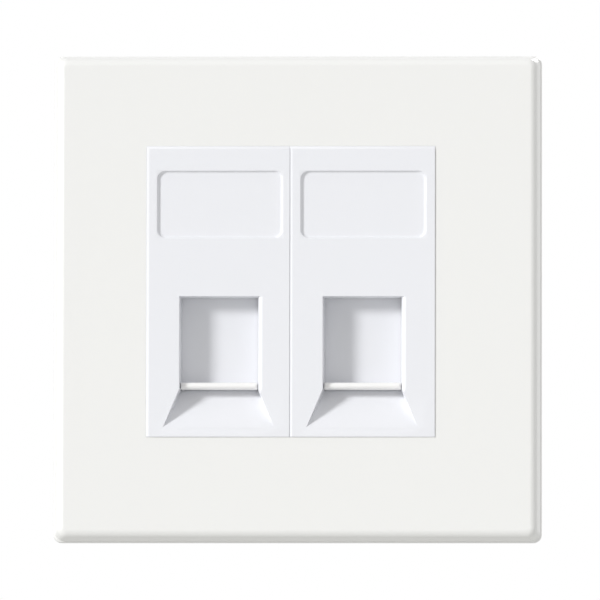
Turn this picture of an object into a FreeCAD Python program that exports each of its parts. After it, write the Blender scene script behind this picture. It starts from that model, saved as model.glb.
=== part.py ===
"""Screwless wall plate, 86 x 86 mm, with two shuttered keystone modules.

Millimetres. +Z is up, the front looks along -Y, and y = 0 is the wall. The origin lies midway
between the two box screws. Distances in front of the wall are called "out" in this file, so a
face at out = 4.6 lies at y = -4.6, and a part behind the wall has a negative "out".
"""
import FreeCAD, Part
import os
import math
import Sketcher

doc = FreeCAD.newDocument("keystone_faceplate")

# ---------------------------------------------------------------- driving dimensions
DIMENSIONS = {
    # front plate
    "plate_width": 86.0,          # across the back rim, both ways
    "plate_depth": 4.6,           # wall to front face
    "plate_draft": 1.2,           # how far each side leans in from back to front
    "plate_corner": 2.4,          # radius of the four corners
    "plate_edge": 1.1,            # radius round the front face
    "plate_skin": 1.4,            # thickness of face and sides
    "window_wide": 51.25,         # the square window, with some play for the modules
    "window_tall": 51.5,
    "window_right": -1.0,         # window centre from the middle of the plate
    "window_up": 1.08,
    "window_bevel": 0.15,
    "collar_wall": 1.4,           # rib round the window that rests on the frame
    "snap_length": 14.0,          # ribs inside the rim that clip behind the frame
    "snap_reach": 40.1,           # tip of a rib from the middle of the plate
    "snap_low": 0.15,
    "snap_high": 0.85,
    # mounting frame
    "frame_half": 40.5,
    "frame_thick": 2.6,
    "frame_corner": 2.0,
    "frame_step": 1.0,            # height of the ledge that the ribs clip behind
    "frame_step_half": 39.9,
    "frame_window_wide": 49.8,
    "frame_window_tall": 45.6,
    "screw_pitch": 60.3,          # box screws, centre to centre
    "screw_clear": 2.0,           # radius of the clearance hole
    "bore_radius": 3.5,           # counterbore for the screw head
    "bore_depth": 1.4,
    "core_depth": 1.3,            # pockets cored out of the frame's back
    "core_wide": 12.4,
    "core_tall": 11.0,
    "core_pitch": 14.0,
    # box screws, M3.5 x 25
    "head_radius": 3.3,
    "head_high": 1.9,
    "head_crown": 0.5,            # height of the domed part of the head
    "neck_radius": 1.55,          # plain neck between the head and the thread
    "shank_radius": 1.75,
    "shank_length": 25.0,
    "shank_point": 0.9,
    "slot_wide": 1.0,
    "slot_deep": 1.1,
    # module bezel
    "module_right": -0.8,         # middle of the two modules from the middle of the plate
    "module_up": 0.9,
    "module_pitch": 25.35,
    "module_out": 4.9,            # face, a little proud of the plate
    "flange_left": 13.08,         # the flange's sides from the middle of its module
    "flange_right": 12.17,
    "flange_top": 25.88,
    "flange_bottom": 25.3,
    "flange_edge": 0.5,           # rounding round the face
    "tub_wide": 24.2,             # box behind the flange
    "tub_tall": 45.2,
    "tub_wall": 1.2,
    "tub_back": 7.0,
    "label_wide": 22.3,
    "label_top": 21.56,
    "label_bottom": 9.42,
    "label_corner": 1.5,
    "label_deep": 0.5,
    "label_foot": 0.48,           # hollow rounding where the recess's sides meet its floor
    "mouth_wide": 13.9,
    "mouth_top": -0.81,
    "mouth_bottom": -17.41,
    "mouth_wall": 1.3,
    "mouth_back": 0.05,           # back of the mouth's walls, clear of the shutter
    "mouth_round": 0.3,           # rounding of the mouth's front edges
    "ramp_deep": 4.0,             # depth of the finger ramp where it meets the mouth
    "ramp_bottom": -23.9,
    "ramp_half": 9.8,             # half width at the ramp's foot
    "rail_wide": 1.2,
    "rail_back": 1.7,
    "rail_top": 20.9,
    "rail_bottom": -19.5,
    "seat_low": 20.4,             # where the spring pushes on the bezel
    "seat_half": 2.6,
    "peg_radius": 0.9,
    "peg_long": 1.2,
    "barb_half": 4.0,             # clips that grip the back of the frame
    "barb_reach": 0.7,
    "barb_long": 2.2,
    "clip_half": 2.7,             # windows for the holder's hooks
    "clip_front": 3.4,
    "clip_back": 5.3,
    # shutter
    "shutter_half": 8.6,
    "shutter_front": 0.1,         # behind the wall plane
    "shutter_thick": 1.4,
    "shutter_bottom": -17.9,
    "shutter_top": 2.6,
    "lip_half": 6.85,
    "lip_top": -15.96,
    "lip_bottom": -17.04,
    "lip_out": 3.7,
    "lip_round": 0.5,
    "shelf_half": 2.4,
    "shelf_thick": 1.0,
    "shelf_out": 1.9,
    # shutter spring
    "spring_behind": -0.3,        # spring axis behind the wall plane
    "spring_radius": 1.4,
    "wire_radius": 0.2,
    "spring_turns": 6.0,
    "bends_per_turn": 12.0,
    "wire_sides": 8.0,
    # keystone holder
    "holder_wide": 21.6,
    "holder_tall": 42.4,
    "holder_thick": 1.5,
    "bay_half": 7.4,              # opening that takes the jack
    "bay_bottom": -18.75,
    "bay_top": -2.25,
    "bay_roof": -0.6,             # inside of the cradle's top wall, room for the latch
    "cradle_wall": 1.4,
    "cradle_back": 12.0,
    "hook_half": 2.5,
    "hook_thick": 1.1,
    # keystone jack
    "jack_half": 7.25,
    "jack_bottom": -18.55,
    "jack_top": -2.45,
    "jack_front": 1.75,
    "jack_back": 14.0,
    "port_half": 5.95,
    "port_top": -6.2,
    "port_floor": -14.4,
    "port_deep": 10.2,
    "key_half": 3.1,
    "key_floor": -16.0,
    "key_slot_half": 1.65,
    "key_slot_floor": -17.1,
    "wire_pitch": 1.016,
    "wire_wide": 0.36,
    "wire_thick": 0.3,
    "board_thick": 1.2,
    "block_back": 23.6,
    "block_half_tall": 7.6,
    "block_half": 7.0,
    "lane_pitch": 3.3,
    "lane_wide": 1.5,
    "lane_deep": 5.6,
    "spine_half": 1.6,
    "cap_thick": 1.2,
    "cap_skirt": 3.2,
}

sheet = doc.addObject("Spreadsheet::Sheet", "Dims")
for row, (alias, value) in enumerate(DIMENSIONS.items(), start=1):
    sheet.set("A%d" % row, alias)
    sheet.set("B%d" % row, str(value))
    sheet.setAlias("B%d" % row, alias)
doc.recompute()


# ---------------------------------------------------------------- drawing helpers
def size(text):
    """Spell a formula for the sheet: every dimension's name gets its sheet in front."""
    words = []
    for word in text.replace("(", " ( ").replace(")", " ) ").split():
        sign = "-" if word.startswith("-") and len(word) > 1 else ""
        name = word[len(sign):]
        words.append(sign + ("Dims." + name if name in DIMENSIONS else name))
    return " ".join(words)


def new_body(name):
    body = doc.addObject("PartDesign::Body", name)
    body.Label = name
    body.AllowCompound = True
    return body


def origin_part(body, role):
    return next(item for item in body.Origin.OriginFeatures if item.Role == role)


def new_sketch(body, name, plane, offset="0"):
    sketch = body.newObject("Sketcher::SketchObject", name)
    sketch.AttachmentSupport = [(origin_part(body, plane), "")]
    sketch.MapMode = "FlatFace"
    sketch.setExpression("AttachmentOffset.Base.z", size(offset))
    return sketch


def pin(sketch, geometry, point, across, up):
    """Bind one point of a sketch to two formulas."""
    for kind, formula in (("DistanceX", across), ("DistanceY", up)):
        index = sketch.addConstraint(Sketcher.Constraint(kind, geometry, point, 1.0))
        sketch.setExpression("Constraints[%d]" % index, size(formula))


def draw_outline(sketch, corners):
    """Closed outline through corners given as pairs of formulas."""
    first = sketch.GeometryCount
    count = len(corners)
    for step in range(count):
        start, end = (2 * math.pi * k / count for k in (step, step + 1))
        sketch.addGeometry(Part.LineSegment(FreeCAD.Vector(math.cos(start), math.sin(start), 0),
                                            FreeCAD.Vector(math.cos(end), math.sin(end), 0)))
    for step in range(count):
        sketch.addConstraint(Sketcher.Constraint("Coincident", first + step, 2,
                                                 first + (step + 1) % count, 1))
    for step, (across, up) in enumerate(corners):
        pin(sketch, first + step, 1, across, up)


def draw_box(sketch, left, bottom, right, top):
    draw_outline(sketch, [(left, bottom), (right, bottom), (right, top), (left, top)])


def draw_circle(sketch, across, up, radius):
    index = sketch.addGeometry(Part.Circle(FreeCAD.Vector(0, 0, 0), FreeCAD.Vector(0, 0, 1), 1.0))
    pin(sketch, index, 3, across, up)
    rule = sketch.addConstraint(Sketcher.Constraint("Radius", index, 1.0))
    sketch.setExpression("Constraints[%d]" % rule, size(radius))


volumes = {}


def settle(body, feature, grows):
    """Make a feature the body's tip and stop if it changed nothing or went the wrong way."""
    before = volumes.get(body.Name, 0.0)
    body.Tip = feature
    doc.recompute()
    if "Invalid" in feature.State or "Error" in feature.State or feature.Shape.isNull():
        raise RuntimeError("%s: %s failed" % (body.Label, feature.Label))
    after = feature.Shape.Volume
    if (after > before) != grows or abs(after - before) < 1e-4:
        raise RuntimeError("%s: %s left the volume at %.4f" % (body.Label, feature.Label, after))
    volumes[body.Name] = after
    return feature


def edges_of(feature, chosen):
    """Names of the feature's edges whose bounding box and centre pass the test."""
    names = []
    for index, edge in enumerate(feature.Shape.Edges, start=1):
        if chosen(edge.BoundBox, edge.CenterOfMass):
            names.append("Edge%d" % index)
    return names


def box(left, bottom, right, top):
    return lambda sketch: draw_box(sketch, left, bottom, right, top)


def block(half_wide, half_tall, right="0", up="0"):
    """Box drawn about its own middle."""
    return box("%s - ( %s )" % (right, half_wide), "%s - ( %s )" % (up, half_tall),
               "%s + ( %s )" % (right, half_wide), "%s + ( %s )" % (up, half_tall))


def span(half_wide, bottom, top):
    """Box centred left to right, between two heights."""
    return box("0 - ( %s )" % half_wide, bottom, half_wide, top)


def outline(corners):
    return lambda sketch: draw_outline(sketch, corners)


def circle(across, up, radius):
    return lambda sketch: draw_circle(sketch, across, up, radius)


def prism(body, name, plane, drawings, low, high, grows=True):
    """Straight piece between two offsets along a plane's normal: out, right or up."""
    sketch = new_sketch(body, name + "_outline", plane, low if grows else high)
    for drawing in drawings if isinstance(drawings, list) else [drawings]:
        drawing(sketch)
    feature = body.newObject("PartDesign::Pad" if grows else "PartDesign::Pocket", name)
    feature.Profile = sketch
    feature.setExpression("Length", size("( %s ) - ( %s )" % (high, low)))
    return settle(body, feature, grows)


def out_prism(body, name, drawings, low, high):
    return prism(body, name, "XZ_Plane", drawings, low, high)


def out_cut(body, name, drawings, low, high):
    return prism(body, name, "XZ_Plane", drawings, low, high, grows=False)


def side_prism(body, name, drawings, left, right):
    return prism(body, name, "YZ_Plane", drawings, left, right)


def soften(body, name, kind, edges, formula):
    """Fillet or chamfer on the named edges of the body's tip."""
    base = body.Tip
    feature = body.newObject("PartDesign::" + kind, name)
    feature.Base = (base, edges)
    feature.setExpression("Radius" if kind == "Fillet" else "Size", size(formula))
    before = volumes[body.Name]
    body.Tip = feature
    doc.recompute()
    if "Invalid" in feature.State or "Error" in feature.State or feature.Shape.isNull():
        raise RuntimeError("%s: %s failed" % (body.Label, name))
    if abs(feature.Shape.Volume - before) < 1e-6:
        raise RuntimeError("%s: %s changed nothing" % (body.Label, name))
    volumes[body.Name] = feature.Shape.Volume
    return feature


def around_y(body, name, original, count):
    """Polar pattern about the front-to-back axis."""
    feature = body.newObject("PartDesign::PolarPattern", name)
    feature.Originals = [original]
    feature.Axis = (origin_part(body, "Y_Axis"), [""])
    feature.Angle = 360
    feature.Occurrences = count
    return settle(body, feature, original.TypeId == "PartDesign::Pad")


def in_row(body, name, original, pitch, count):
    """Linear pattern to the right."""
    feature = body.newObject("PartDesign::LinearPattern", name)
    feature.Originals = [original]
    feature.Direction = (origin_part(body, "X_Axis"), [""])
    feature.setExpression("Length", size("( %s ) * %d" % (pitch, count - 1)))
    feature.Occurrences = count
    return settle(body, feature, original.TypeId == "PartDesign::Pad")


def upside_down(body, name, original):
    """Mirror image of a feature in the level plane."""
    feature = body.newObject("PartDesign::Mirrored", name)
    feature.Originals = [original]
    feature.MirrorPlane = (origin_part(body, "XY_Plane"), [""])
    return settle(body, feature, original.TypeId == "PartDesign::Pad")


def place(body, right="0", up="0", behind="0"):
    body.setExpression("Placement.Base.x", size(right))
    body.setExpression("Placement.Base.y", size(behind))
    body.setExpression("Placement.Base.z", size(up))


def value_of(formula_name):
    return DIMENSIONS[formula_name]


# ---------------------------------------------------------------- front plate
def build_front_plate():
    """Drafted, rounded cover with a square window and four ribs that clip behind the frame."""
    body = new_body("front_plate")
    half = "plate_width / 2"
    out_prism(body, "slab", block(half, half), "0", "plate_depth")
    face = "0 - plate_depth"
    side = prism(body, "draft", "YZ_Plane",
                 outline([("0", half), (face, half + " - plate_draft"), (face, half)]),
                 "0 - ( %s )" % half, half, grows=False)
    around_y(body, "drafts", side, 4)
    depth = value_of("plate_depth")
    corners = edges_of(body.Tip, lambda extent, centre: extent.YLength > 0.9 * depth)
    soften(body, "corners", "Fillet", corners, "plate_corner")
    front = edges_of(body.Tip, lambda extent, centre: extent.YMax < 0.01 - depth)
    soften(body, "face_edge", "Fillet", front, "plate_edge")
    inner = half + " - plate_skin"
    roof = inner + " - plate_draft * ( plate_depth - plate_skin ) / plate_depth"
    out_cut(body, "hollow", block(roof, roof), "0", "plate_depth - plate_skin")
    flank = prism(body, "inner_draft", "YZ_Plane",
                  outline([("0", roof), ("plate_skin - plate_depth", roof), ("0", inner)]),
                  "0 - ( %s )" % inner, inner, grows=False)
    around_y(body, "inner_drafts", flank, 4)
    window = block("window_wide / 2", "window_tall / 2", "window_right", "window_up")
    out_cut(body, "window", window, "0", "plate_depth")
    reach = 0.5 * value_of("window_tall") + value_of("window_up") + 0.1
    rim = edges_of(body.Tip, lambda extent, centre: extent.YMax < 0.01 - depth
                   and max(abs(centre.x), abs(centre.z)) < reach)
    soften(body, "window_bevel", "Chamfer", rim, "window_bevel")
    collar = block("window_wide / 2 + collar_wall", "window_tall / 2 + collar_wall",
                   "window_right", "window_up")
    out_prism(body, "collar", [collar, window], "frame_thick", "plate_depth - plate_skin")
    heads = [circle(side + " screw_pitch / 2", "0", "head_radius + 0.5") for side in ("0 -", "0 +")]
    out_cut(body, "head_room", heads, "frame_thick", "plate_depth - plate_skin")
    rib = out_prism(body, "snap_rib",
                    box("snap_reach", "0 - snap_length / 2", half + " - plate_skin / 2",
                        "snap_length / 2"), "snap_low", "snap_high")
    around_y(body, "snap_ribs", rib, 4)
    return body


# ---------------------------------------------------------------- mounting frame and screws
def build_mounting_frame():
    """Square frame with a window, two counterbored screw holes and a cored back."""
    body = new_body("mounting_frame")
    out_prism(body, "slab", block("frame_half", "frame_half"), "0", "frame_thick")
    thick = value_of("frame_thick")
    corners = edges_of(body.Tip, lambda extent, centre: extent.YLength > 0.9 * thick)
    soften(body, "corners", "Fillet", corners, "frame_corner")
    out_cut(body, "window", block("frame_window_wide / 2", "frame_window_tall / 2",
                                  "module_right", "module_up"), "0", "frame_thick")
    ledge = out_cut(body, "ledge", box("frame_step_half", "-1 - snap_length / 2",
                                       "frame_half + 1", "1 + snap_length / 2"),
                    "0", "frame_step")
    around_y(body, "ledges", ledge, 4)
    for name, radius, low in (("screw_holes", "screw_clear", "0"),
                              ("counterbores", "bore_radius", "frame_thick - bore_depth")):
        rounds = [circle(side + " screw_pitch / 2", "0", radius) for side in ("0 -", "0 +")]
        out_cut(body, name, rounds, low, "frame_thick")
    rows = []
    for side in ("0 -", "0 +"):
        for step in range(-2, 3):
            middle = "( frame_half + frame_window_tall / 2 ) / 2"
            rows.append(block("core_wide / 2", "core_tall / 2", "core_pitch * %d" % step,
                              side + " " + middle))
    out_cut(body, "cores", rows, "0", "core_depth")
    return body


def build_screw(name, side):
    """Pan-head screw, slotted, seated in its counterbore, its thread starting behind the frame."""
    body = new_body(name)
    seat = "bore_depth - frame_thick"
    tip = "( %s ) + shank_length" % seat
    top = "( %s ) - head_high" % seat
    sketch = new_sketch(body, "profile", "XY_Plane")
    draw_outline(sketch, [("0", top), ("head_radius - 2 * head_crown", top),
                          ("head_radius", "( %s ) + head_crown" % top), ("head_radius", seat),
                          ("neck_radius", seat), ("neck_radius", "0"), ("shank_radius", "0"),
                          ("shank_radius", "( %s ) - shank_point" % tip),
                          ("shank_radius - shank_point / 2", tip), ("0", tip)])
    turned = body.newObject("PartDesign::Revolution", "turned")
    turned.Profile = sketch
    turned.ReferenceAxis = (origin_part(body, "Y_Axis"), [""])
    turned.Angle = 360
    settle(body, turned, True)
    crown = "head_high + frame_thick - bore_depth"
    out_cut(body, "driver_slot", block("head_radius + 1", "slot_wide / 2"),
            crown + " - slot_deep", crown + " + 0.1")
    place(body, right=side + " screw_pitch / 2")
    return body


# ---------------------------------------------------------------- module bezel
def build_bezel(name):
    """Module front: flange, tub, label recess, mouth, finger ramp, rails and frame clips."""
    body = new_body(name)
    face = value_of("module_out")
    out_prism(body, "flange", box("-flange_left", "-flange_bottom", "flange_right", "flange_top"),
              "frame_thick", "module_out")
    front = edges_of(body.Tip, lambda extent, centre: extent.YMax < 0.01 - face)
    soften(body, "flange_edge", "Fillet", front, "flange_edge")
    out_prism(body, "tub", block("tub_wide / 2", "tub_tall / 2"), "-tub_back", "frame_thick")
    out_cut(body, "tub_inside", block("tub_wide / 2 - tub_wall", "tub_tall / 2 - tub_wall"),
            "-tub_back", "frame_thick")
    foot = "tub_wall / 2 - tub_tall / 2"
    out_prism(body, "mouth_walls", span("mouth_wide / 2 + mouth_wall", foot,
                                        "mouth_top + mouth_wall"), "mouth_back", "frame_thick")
    out_prism(body, "ramp_block", span("tub_wide / 2 - tub_wall / 2", foot, "mouth_bottom"),
              "mouth_back", "frame_thick")
    out_cut(body, "mouth", span("mouth_wide / 2", "mouth_bottom", "mouth_top"),
            "0", "module_out")
    bottom = "module_out - ramp_deep"
    out_cut(body, "ramp_well", outline([("0 - ramp_half", "ramp_bottom"), ("ramp_half", "ramp_bottom"),
                                        ("mouth_wide / 2", "mouth_bottom"),
                                        ("0 - mouth_wide / 2", "mouth_bottom")]),
            bottom, "module_out")
    side_prism(body, "finger_ramp", outline([("0 - ( %s )" % bottom, "ramp_bottom"),
                                             ("0 - ( %s )" % bottom, "mouth_bottom"),
                                             ("0 - module_out", "ramp_bottom")]),
               "0 - ramp_half", "ramp_half")
    shoulder = block("tub_wide / 2 + 2", "tub_tall / 2 + 5")
    out_cut(body, "shoulder", [shoulder, block("tub_wide / 2", "tub_tall / 2")],
            "0", "frame_thick")
    low = value_of("ramp_bottom")
    wide = value_of("ramp_half") + 0.1
    mouth = edges_of(body.Tip, lambda extent, centre: extent.YMax < 0.01 - face
                     and abs(centre.x) < wide and centre.z < 0.5 and centre.z > low + 0.5)
    soften(body, "mouth_edge", "Fillet", mouth, "mouth_round")
    label = out_cut(body, "label_recess", span("label_wide / 2", "label_bottom", "label_top"),
                    "module_out - label_deep", "module_out")
    deep, bottom, side = (value_of("label_" + key) for key in ("deep", "bottom", "wide"))
    corners = edges_of(label, lambda extent, centre: abs(extent.YLength - deep) < 0.01
                       and centre.z > bottom - 0.1 and abs(centre.x) < side / 2 + 0.1)
    soften(body, "label_corners", "Fillet", corners, "label_corner")
    floor = edges_of(body.Tip, lambda extent, centre: abs(extent.YMax + face - deep) < 0.01
                     and extent.YLength < 0.01 and extent.ZMin > bottom - 0.1
                     and abs(centre.x) < side / 2 + 0.1)
    soften(body, "label_floor", "Fillet", floor, "label_foot")
    rails = [box(edge, "rail_bottom", edge + " + rail_wide", "rail_top")
             for edge in ("shutter_half + 0.15", "0 - shutter_half - 0.15 - rail_wide")]
    out_prism(body, "rails", rails, "-rail_back", "frame_thick")
    out_prism(body, "shutter_stop", span("shutter_half + 0.2", "rail_bottom", "shutter_bottom"),
              "-rail_back", "mouth_back + 0.1")
    out_prism(body, "spring_seat", span("seat_half", "seat_low", "tub_tall / 2 - tub_wall / 2"),
              "-rail_back", "frame_thick")
    prism(body, "seat_peg", "XY_Plane", circle("0", "spring_behind", "peg_radius"),
          "seat_low - peg_long", "seat_low")
    edge = "tub_tall / 2"
    barb = side_prism(body, "barb", outline([("0.05", edge + " - tub_wall / 2"),
                                             ("0.05", edge + " + barb_reach"),
                                             ("0.35", edge + " + barb_reach"),
                                             ("barb_long", edge),
                                             ("barb_long", edge + " - tub_wall / 2")]),
                      "-barb_half", "barb_half")
    upside_down(body, "lower_barb", barb)
    window = prism(body, "clip_window", "XY_Plane", box("-clip_half", "clip_front", "clip_half",
                                                        "clip_back"),
                   edge + " - tub_wall - 0.1", edge + " + 0.1", grows=False)
    upside_down(body, "lower_clip_window", window)
    return body


# ---------------------------------------------------------------- shutter and its spring
def build_shutter(name):
    """Sliding plate with a finger lip in front and a spring shelf with a peg on top."""
    body = new_body(name)
    back = "0 - shutter_front - shutter_thick"
    out_prism(body, "plate", span("shutter_half", "shutter_bottom", "shutter_top"),
              back, "-shutter_front")
    out_prism(body, "lip", span("lip_half", "lip_bottom", "lip_top"), "-shutter_front", "lip_out")
    tip = value_of("lip_out")
    nose = edges_of(body.Tip, lambda extent, centre: extent.YMax < 0.01 - tip)
    soften(body, "lip_nose", "Fillet", nose, "lip_round")
    out_prism(body, "shelf", span("shelf_half", "shutter_top - shelf_thick", "shutter_top"),
              "-shutter_front", "shelf_out")
    prism(body, "peg", "XY_Plane", circle("0", "spring_behind", "peg_radius"),
          "shutter_top", "shutter_top + peg_long")
    return body


def build_spring(name):
    """Compression coil standing between the shutter's shelf and the bezel's seat."""
    radius = value_of("spring_radius")
    wire = value_of("wire_radius")
    climb = value_of("seat_low") - value_of("shutter_top") - 2 * wire
    bends = int(value_of("bends_per_turn"))
    steps = int(value_of("spring_turns")) * bends
    points = [FreeCAD.Vector(radius * math.cos(2 * math.pi * step / bends),
                             radius * math.sin(2 * math.pi * step / bends),
                             climb * step / steps) for step in range(steps + 1)]
    along = (points[1] - points[0]).normalize()
    outward = FreeCAD.Vector(1, 0, 0)
    upward = along.cross(outward).normalize()
    sides = int(value_of("wire_sides"))
    ring = [points[0] + outward * (wire * math.cos(2 * math.pi * (side + 0.5) / sides))
            + upward * (wire * math.sin(2 * math.pi * (side + 0.5) / sides))
            for side in range(sides)]
    section = Part.makePolygon(ring + ring[:1])
    coil = doc.addObject("Part::Feature", name)
    coil.Label = name
    coil.Shape = Part.makePolygon(points).makePipeShell([section], True, False, 1)
    return coil


# ---------------------------------------------------------------- keystone holder
def build_holder(name):
    """Back of the module: a plate with the jack's bay, its cradle and two hooks."""
    body = new_body(name)
    front = "-rail_back"
    back = "0 - rail_back - holder_thick"
    end = "-cradle_back"
    out_prism(body, "plate", block("holder_wide / 2", "holder_tall / 2"), back, front)
    outer = span("bay_half + cradle_wall", "bay_bottom - cradle_wall", "bay_roof + cradle_wall")
    out_prism(body, "cradle", outer, end, back)
    out_cut(body, "cradle_inside", span("bay_half", "bay_bottom", "bay_roof"), end, back)
    out_cut(body, "bay", span("bay_half", "bay_bottom", "bay_top"), back, front)
    out_cut(body, "hook_pocket", span("hook_half + 0.7", "bay_bottom - cradle_wall", "bay_bottom"),
            back + " - 2", back)
    ribs = [span("0.6", "bay_roof + cradle_wall", "holder_tall / 2"),
            box("-6", "bay_roof + cradle_wall", "-4.8", "holder_tall / 2"),
            box("4.8", "bay_roof + cradle_wall", "6", "holder_tall / 2")]
    out_prism(body, "ribs", ribs, back + " - 1.2", back)
    edge = "holder_tall / 2"
    arm = out_prism(body, "hook_arm", span("hook_half", edge + " - hook_thick", edge),
                    "-clip_back", back)
    upside_down(body, "lower_hook_arm", arm)
    tooth = side_prism(body, "tooth",
                       outline([("clip_front + 0.1", edge), ("clip_back", edge),
                                ("clip_front + 0.1", edge + " + 0.8")]),
                       "0 - hook_half", "hook_half")
    upside_down(body, "lower_tooth", tooth)
    return body


# ---------------------------------------------------------------- keystone jack
def build_jack_housing(name):
    """Jack body: plug port with its keyway, fixed hook below and sprung latch above."""
    body = new_body(name)
    front = "-jack_front"
    back = "-jack_back"
    out_prism(body, "shell", span("jack_half", "jack_bottom", "jack_top"), back, front)
    deep = "0 - jack_front - port_deep"
    out_cut(body, "port", span("port_half", "port_floor", "port_top"), deep, front)
    out_cut(body, "keyway", span("key_half", "key_floor", "port_floor"), deep, front)
    out_cut(body, "key_slot", span("key_slot_half", "key_slot_floor", "key_floor"), deep, front)
    out_cut(body, "carrier_bay", span("port_half - 0.8", "port_floor + 1", "port_top"),
            back, deep)
    hold = "rail_back + holder_thick + 0.05"
    side_prism(body, "hook", outline([(hold, "jack_bottom"), (hold + " + 1.7", "jack_bottom"),
                                      (hold + " + 0.6", "bay_bottom - 0.7"),
                                      (hold, "bay_bottom - 0.7")]),
               "0 - hook_half", "hook_half")
    side_prism(body, "latch", outline([("jack_back - 1.6", "jack_top"), ("jack_back", "jack_top"),
                                       ("jack_back - 0.4", "jack_top + 0.7"),
                                       (hold + " + 0.9", "jack_top + 1.5"),
                                       (hold, "jack_top + 1.5"), (hold, "jack_top + 0.25"),
                                       (hold + " + 1", "jack_top + 0.25")]),
               "0 - hook_half", "hook_half")
    return body


def build_contact_carrier(name):
    """Insulating block at the back of the port with a comb that keeps the wires apart."""
    body = new_body(name)
    front = "0 - jack_front - port_deep"
    out_prism(body, "block", span("port_half - 0.8", "port_floor + 1", "port_top"),
              "-jack_back", front)
    for step in range(8):
        middle = "wire_pitch * %.1f" % (step - 3.5)
        out_cut(body, "groove_%d" % step,
                block("wire_wide / 2", "wire_thick / 2", middle, "port_top - 1"),
                "-jack_back", front)
    return body


def build_contact_wires(name):
    """Eight spring wires that run forward under the port's roof and fold back down."""
    body = new_body(name)
    level = "port_top - 1"
    bend = "jack_front + 3.2"
    path = [("jack_back", level + " + wire_thick / 2"),
            ("jack_back", level + " - wire_thick / 2"),
            (bend + " + 1", level + " - wire_thick / 2"),
            (bend + " + 0.4", level + " - 0.55"),
            (bend + " + 5.6", level + " - 3.2"),
            (bend + " + 5.4", level + " - 3.2 - wire_thick"),
            (bend, level + " - 0.75"), (bend, level + " - 0.2"),
            (bend + " + 0.5", level + " + wire_thick / 2")]
    first = side_prism(body, "wire", outline(path), "-3.5 * wire_pitch - wire_wide / 2",
                       "-3.5 * wire_pitch + wire_wide / 2")
    in_row(body, "wires", first, "wire_pitch", 8)
    return body


def build_jack_board(name):
    """Circuit board behind the jack body."""
    body = new_body(name)
    middle = "( jack_bottom + jack_top ) / 2"
    out_prism(body, "board", block("block_half", "block_half_tall", "0", middle),
              "0 - jack_back - board_thick", "-jack_back")
    return body


def lanes(half_wide, low, high):
    """Eight boxes, four lanes above and four below the block's spine."""
    middle = "( jack_bottom + jack_top ) / 2"
    boxes = []
    for step in range(4):
        centre = "lane_pitch * %.1f" % (step - 1.5)
        for side in ("+", "-"):
            near, far = "%s %s %s" % (middle, side, low), "%s %s %s" % (middle, side, high)
            bottom, top = (near, far) if side == "+" else (far, near)
            boxes.append(box("%s - %s" % (centre, half_wide), bottom,
                             "%s + %s" % (centre, half_wide), top))
    return boxes


def build_terminal_block(name):
    """Punch-down block: a spine with four wire lanes above it and four below."""
    body = new_body(name)
    middle = "( jack_bottom + jack_top ) / 2"
    front = "0 - jack_back - board_thick"
    out_prism(body, "block", block("block_half", "block_half_tall", "0", middle),
              "-block_back", front)
    for step, lane in enumerate(lanes("lane_wide / 2", "spine_half", "( block_half_tall + 0.5 )")):
        prism(body, "lane_%d" % step, "XZ_Plane", lane, "0 - block_back",
              "lane_deep - block_back", grows=False)
    return body


def build_terminals(name):
    """Eight slit blades standing in the lanes of the terminal block."""
    body = new_body(name)
    low = "0 - block_back + 1.4"
    foot = "lane_deep - block_back"
    for step, blade in enumerate(lanes("( lane_wide / 2 )", "( spine_half + 2 )",
                                       "( spine_half + 2.5 )")):
        out_prism(body, "blade_%d" % step, blade, low, foot)
    slits = lanes("0.2", "( spine_half + 1.9 )", "( spine_half + 2.6 )")
    for step, slit in enumerate(slits):
        out_cut(body, "slit_%d" % step, slit, low, "( %s ) - 1.2" % foot)
    return body


def build_wire_cap(name):
    """Cap pressed over the terminal block, open above and below where the wires enter."""
    body = new_body(name)
    middle = "( jack_bottom + jack_top ) / 2"
    end = "0 - block_back - cap_thick"
    outer = block("block_half + 1.2", "block_half_tall + 0.4", "0", middle)
    out_prism(body, "cap", outer, end, "cap_skirt - block_back")
    out_cut(body, "cap_inside", block("block_half + 0.05", "block_half_tall + 0.5", "0", middle),
            "-block_back", "cap_skirt - block_back")
    out_cut(body, "cable_notch", block("2.6", "block_half_tall / 2", "0",
                                       middle + " - block_half_tall"), end, "-block_back")
    return body


# ---------------------------------------------------------------- assembly
def build_module(side, right):
    """One module with everything in it, placed by its middle."""
    up = "module_up"
    rest = "shutter_top + wire_radius"
    place(build_bezel("module_bezel_" + side), right, up)
    place(build_shutter("shutter_" + side), right, up)
    place(build_spring("shutter_spring_" + side), right, "%s + %s" % (up, rest), "spring_behind")
    for build, name in ((build_holder, "keystone_holder"), (build_jack_housing, "jack_housing"),
                        (build_contact_carrier, "contact_carrier"),
                        (build_contact_wires, "contact_wires"), (build_jack_board, "jack_board"),
                        (build_terminal_block, "terminal_block"),
                        (build_terminals, "slit_terminals"), (build_wire_cap, "wire_cap")):
        place(build("%s_%s" % (name, side)), right, up)


def check(body):
    """Stop on any failed object or broken solid."""
    for item in [body] + getattr(body, "Group", []):
        if "Invalid" in item.State or "Error" in item.State:
            raise RuntimeError("%s: %s has failed" % (body.Label, item.Label))
    if body.Shape.isNull() or not body.Shape.isValid():
        raise RuntimeError("%s has no valid solid" % body.Label)


def main():
    build_front_plate()
    build_mounting_frame()
    build_screw("fixing_screw_left", "0 -")
    build_screw("fixing_screw_right", "0 +")
    build_module("left", "module_right - module_pitch / 2")
    build_module("right", "module_right + module_pitch / 2")
    doc.recompute()
    os.makedirs("parts", exist_ok=True)
    bodies = [item for item in doc.Objects if item.TypeId in ("PartDesign::Body", "Part::Feature")]
    for body in bodies:
        check(body)
    for body in bodies:
        body.Shape.exportStep("parts/%s.step" % body.Label)
        print("%-24s %d solid(s) %9.1f mm3" % (body.Label, len(body.Shape.Solids),
                                               body.Shape.Volume))


main()
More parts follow.
